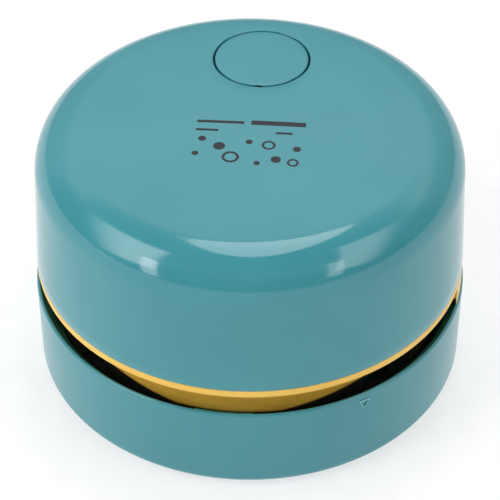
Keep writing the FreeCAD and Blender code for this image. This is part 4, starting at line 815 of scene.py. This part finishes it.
def buildTuft():
    strands = []
    outermost, bend = brush["strands"][-1][0], brush["bend"]
    for circle, count in brush["strands"]:
        for k in range(count):
            angle = 2 * math.pi * k / count
            x, y = circle * math.cos(angle), circle * math.sin(angle)
            out = (x * brush["splay"] / outermost, y * brush["splay"] / outermost)
            end = brush["tip"] + brush["tipSpread"] * ((k * 7 + count) % 5) / 4  # uneven cut
            root = brush["root"]
            strand = firstRing("strand", (x, y), (brush["strandRadius"], root), brush["strandSides"])
            middle = (root + end) / 2
            nextRing((x, y), (1, root), (1, middle), (out[0] * bend, out[1] * bend))
            nextRing((x + out[0], y + out[1]), (1, middle), (brush["tipShare"], end),
                     (out[0] * (1 - bend), out[1] * (1 - bend)))
            bpy.ops.mesh.edge_face_add()
            strands.append(closeUp(strand, 50))
    return join(strands[0], *strands[1:])


def alongRows(source):
    copies = []
    for circle, count in brush["rows"]:
        for k in range(count):
            angle = 2 * math.pi * k / count
            place = (circle * math.cos(angle), circle * math.sin(angle), 0)
            copies.append(placeCopy(source, place, (0, 0, 360 * k / count + brush["twist"] * k)))
    bpy.data.objects.remove(source)
    return join(copies[0], *copies[1:])


brushTufts = alongRows(buildTuft())
brushTufts.name = brushTufts.data.name = "brushTufts"
settle(brushTufts, inside["bristle"], "base", "bristle_nylon", "brush_tufts")
brushRing = turnPiece("brushRing", brush["ring"], brush["ringSteps"])
join(brushRing, alongRows(turnPiece("tuftCollar", brush["collar"], brush["collarSteps"], arcSteps=2)))
settle(brushRing, inside["frame"], "base", "frame_black", "brush_ring")

seal = {
    "corners": [(36.2, 12.2, 0.1), (38.0, 12.2, 0.3), (38.0, 13.0, 0.15), (36.2, 13.0, 0.1)],
    "steps": 160,
}
sealRing = turnPiece("dustSealRing", seal["corners"], seal["steps"])
settle(sealRing, inside["seal"], "seal", "seal_rubber", "dust_seal")
print("stage 9: feet, brushes and seal built")


# woven filter mesh in its frame

weave = {"radius": 10.2, "trim": 0.1, "cells": 34, "middle": 15.4, "thread": 0.2, "rise": 0.12}


def buildWeave():
    clearSelection()
    size = weave["radius"] * 2
    bpy.ops.mesh.primitive_grid_add(
        x_subdivisions=weave["cells"], y_subdivisions=weave["cells"], size=size * mm,
        location=(0, 0, weave["middle"] * mm),
    )
    piece = bpy.context.object
    piece.name = piece.data.name = "filterWeave"
    bpy.ops.object.transform_apply(location=True, rotation=True, scale=True)
    openEdit(piece)
    cage = bmesh.from_edit_mesh(piece.data)
    pitch = size / weave["cells"]
    for point in cage.verts:
        column, row = round(point.co.x / mm / pitch), round(point.co.y / mm / pitch)
        point.co.z += weave["rise"] * mm * (1 if (column + row) % 2 else -1)
        point.select = math.hypot(point.co.x, point.co.y) > (weave["radius"] - weave["trim"]) * mm
    cage.select_flush_mode()
    bmesh.update_edit_mesh(piece.data)
    bpy.ops.mesh.delete(type="VERT")
    pick(piece)
    useModifier(piece, "WIREFRAME", thickness=weave["thread"] * mm, use_even_offset=False)
    return piece


filterWeave = settle(buildWeave(), inside["mesh"], "filter", "filter_white", "filter_mesh")
print("stage 10: filter weave built")


# cells with plain sleeves

cell = {
    "corners": [
        (3.9, 0, 0.1), (4.1, 0.25, 0.1), (4.5, 0.25, 0.1), (4.7, 0, 0.1), (5.25, 0, 0.45),
        (5.25, 36.0, 0), (5.25, 38.5, 0), (5.25, 43.6, 0.45), (4.5, 43.6, 0.1), (4.4, 43.3, 0.1),
        (1.9, 43.3, 0.15), (1.9, 44.5, 0.3),
    ],
    "front": ((-20.8, -19.2, 24.05), 90), "rear": ((20.8, 19.2, 24.05), -90),
    "sleeve": 5.0, "bandStart": 36.0, "bandEnd": 38.5, "steps": 48,
}


def buildCell(name, place, turn):
    piece = turnSolid(name, cell["corners"], cell["steps"])
    dress(piece, inside["cell"], inside["contact"], inside["cellBand"])
    for face in piece.data.polygons:
        reach = math.hypot(face.center.x, face.center.y) / mm
        if reach < cell["sleeve"]:
            face.material_index = 1
        elif cell["bandStart"] < face.center.z / mm < cell["bandEnd"]:
            face.material_index = 2
    ready = placeCopy(piece, place, (0, turn, 0))
    bpy.data.objects.remove(piece)
    ready.name = ready.data.name = name
    return ready


frontCell = buildCell("frontCell", *cell["front"])
rearCell = buildCell("rearCell", *cell["rear"])
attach(frontCell, "upper")
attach(rearCell, "upper")
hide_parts("battery_front")
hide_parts("battery_rear")
print("stage 11: cells built")


# moulded, pressed and turned parts with their sharp edges eased

eased = {  # node: body, slot, finish, ease
    "bottom_plate": ("upper", "frame_black", "frame", 0.15),
    "battery_door_front": ("front_door", "door_black", "door", 0.12),
    "battery_door_rear": ("rear_door", "door_black", "door", 0.12),
    "filter_frame": ("filter", "filter_frame_grey", "frameGrey", 0.12),
    "impeller": ("rotor", "fan_white", "fan", 0.08),
    "chassis": ("upper", "frame_black", "frame", 0.12),
    "plate_screws": ("upper", "screw_steel", "screw", 0.06),
    "shell_screws": ("upper", "screw_steel", "screw", 0.06),
    "motor_can": ("upper", "motor_steel", "can", 0.1),
    "motor_shaft": ("rotor", "shaft_steel", "shaft", 0.1),
    "spring_contacts": ("upper", "contact_metal", "contact", 0),
    "button_spring": (None, "spring_steel", "spring", 0),
    "red_lead": ("upper", "lead_red", "leadRed", 0),
    "black_lead": ("upper", "lead_black", "leadBlack", 0),
    "jumper_lead": ("upper", "lead_yellow", "leadYellow", 0),
    "motor_lead": ("upper", "lead_red", "leadRed", 0),
}
for node, (body, slot, look, ease) in eased.items():
    words = node.split("_")
    name = words[0] + "".join(word.title() for word in words[1:]) + "Eased"
    settle(easedCopy(name, node, ease), inside[look], body, slot, node)
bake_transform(bpy.data.objects["buttonSpringEased"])
print("stage 12: eased copies made")


# floor, lights and camera

table = {"size": 6, "cuts": 3, "grain": 240, "dark": 0.38, "pale": 0.41, "rough": 0.9, "shine": 0.1,
         "glow": 0.62}


def paleFloor():
    clearSelection()
    bpy.ops.mesh.primitive_plane_add(size=table["size"], location=(0, 0, 0))
    floor = bpy.context.object
    floor.name = floor.data.name = "paleFloor"
    openEdit(floor)
    bpy.ops.mesh.select_all(action="SELECT")
    bpy.ops.mesh.subdivide(number_cuts=table["cuts"])
    pick(floor)
    finish, nodes, links, shader, place = blankFinish("paleFloorPaint")
    fine = addNoise(nodes, links, place, table["grain"], 3)
    dark, pale = [(level, level, level, 1) for level in (table["dark"], table["pale"])]
    links.new(addRamp(nodes, links, fine, dark, pale), shader.inputs["Base Color"])
    shader.inputs["Roughness"].default_value = table["rough"]
    shader.inputs["Specular IOR Level"].default_value = table["shine"]
    shader.inputs["Emission Color"].default_value = (1, 1, 1, 1)
    shader.inputs["Emission Strength"].default_value = table["glow"]
    dress(floor, finish)


def fadeFar(lamp, fade):  # the glow fades toward the lamp's left end, and a little at its other edges
    lamp.data.use_nodes = True
    nodes, links = lamp.data.node_tree.nodes, lamp.data.node_tree.links
    place = nodes.new("ShaderNodeNewGeometry")
    split = nodes.new("ShaderNodeSeparateXYZ")
    links.new(place.outputs["Parametric"], split.inputs["Vector"])
    nearest = None
    for axis, start, end in (("X", 0, fade), ("X", 1, 0.9), ("Y", 0, 0.12), ("Y", 1, 0.88)):
        inward = nodes.new("ShaderNodeMapRange")
        inward.interpolation_type = "SMOOTHSTEP"
        inward.inputs["From Min"].default_value, inward.inputs["From Max"].default_value = start, end
        links.new(split.outputs[axis], inward.inputs["Value"])
        if nearest is None:
            nearest = inward.outputs["Result"]
            continue
        both = nodes.new("ShaderNodeMath")
        both.operation = "MULTIPLY"
        links.new(nearest, both.inputs[0])
        links.new(inward.outputs["Result"], both.inputs[1])
        nearest = both.outputs["Value"]
    links.new(nearest, nodes["Emission"].inputs["Strength"])


def outwardOf(turn, rise):  # degrees from the front and from level
    turn, rise = math.radians(turn), math.radians(rise)
    return Vector((math.sin(turn) * math.cos(rise), -math.cos(turn) * math.cos(rise), math.sin(rise)))


def softBox(name, turn, rise, roll, wide, high, glow, fade):
    toward = outwardOf(turn, rise)
    clearSelection()
    bpy.ops.object.light_add(type="AREA", location=toward * lampAway + Vector((0, 0, lampHeight)))
    lamp = bpy.context.object
    lamp.name = lamp.data.name = name
    lamp.data.shape = "RECTANGLE" if fade is not None else "ELLIPSE"
    lamp.data.size, lamp.data.size_y = wide, high
    lamp.data.energy = glow * math.pi * wide * high
    facing = (-toward).to_track_quat("-Z", "Y")
    lamp.rotation_euler = (facing @ Quaternion((0, 0, 1), math.radians(roll))).to_euler()
    if fade:
        fadeFar(lamp, fade)
    return lamp


lampAway, lampHeight = 1.5, 0.04  # metres
lights = {  # turn, rise and roll in degrees, width and height, brightness, fading share or None if round
    "overhead": (180, 72.6, 0, 0.605, 1.21, 3.1, None),
    "leftSide": (-67.3, 33, 26.6, 1.12, 1.52, 4.3, 0.6),
    "rightSide": (74.7, 36.4, 180 - 35.8, 0.84, 1.62, 2.75, 0.6),
    "leftStrip": (-43.8, 17.5, 11, 0.22, 0.84, 4.3, 0),
    "leftTube": (-47.8, 33, 11, 0.22, 0.04, 7, 0),
    "rightStrip": (49.5, 25, -12, 0.2, 0.8, 2.9, 0),
}
paleFloor()
for name, settings in lights.items():
    softBox(name, *settings)


studio = {  # how bright the air is: from the front, 0, to the back, 1; from level, 0, to overhead, 1
    "back": [(0.45, 0.25), (0.58, 0.3), (0.65, 0.42), (0.74, 1.0), (0.86, 0.9)],
    "height": [(0.0, 0.3), (0.5, 0.5), (0.62, 0.97), (0.7, 0.97), (0.8, 0.4)], "strength": 1.4,
}


def airRamp(nodes, links, source, low, levels):
    spread = nodes.new("ShaderNodeMapRange")
    spread.inputs["From Min"].default_value = low
    ramp = nodes.new("ShaderNodeValToRGB")
    stops = ramp.color_ramp.elements
    for spot, level in levels[1:-1]:
        stops.new(spot)
    for stop, (spot, level) in zip(stops, levels):
        stop.position, stop.color = spot, (level, level, level, 1)
    links.new(source, spread.inputs["Value"])
    links.new(spread.outputs["Result"], ramp.inputs["Fac"])
    return ramp.outputs["Color"]


def studioAir():
    world = bpy.data.worlds.new("studioAir")
    bpy.context.scene.world = world
    world.use_nodes = True
    nodes, links = world.node_tree.nodes, world.node_tree.links
    air = nodes["Background"]
    place = nodes.new("ShaderNodeTexCoord")
    split = nodes.new("ShaderNodeSeparateXYZ")
    both = nodes.new("ShaderNodeMix")
    both.data_type, both.blend_type = "RGBA", "MULTIPLY"
    both.inputs["Factor"].default_value = 1.0
    links.new(place.outputs["Generated"], split.inputs["Vector"])
    links.new(airRamp(nodes, links, split.outputs["Y"], -1, studio["back"]), both.inputs["A"])
    links.new(airRamp(nodes, links, split.outputs["Z"], 0, studio["height"]), both.inputs["B"])
    links.new(both.outputs["Result"], air.inputs["Color"])
    air.inputs["Strength"].default_value = studio["strength"]


studioAir()

view = {"azimuth": 6.1, "elevation": 41.04, "away": 0.45, "target": (0, 0, 0.02311), "lens": 165.5,
        "sensor": 36}


def takeView():
    outward = outwardOf(view["azimuth"], view["elevation"])
    spot = Vector(view["target"]) + outward * view["away"]
    clearSelection()
    bpy.ops.object.camera_add(location=spot)
    camera = bpy.context.object
    camera.rotation_euler = (-outward).to_track_quat("-Z", "Y").to_euler()
    camera.data.sensor_width = view["sensor"]
    camera.data.lens = view["lens"]
    bpy.context.scene.camera = camera


takeView()
bpy.context.scene.view_settings.view_transform = "Standard"
print("stage 13: floor, lights and camera placed")
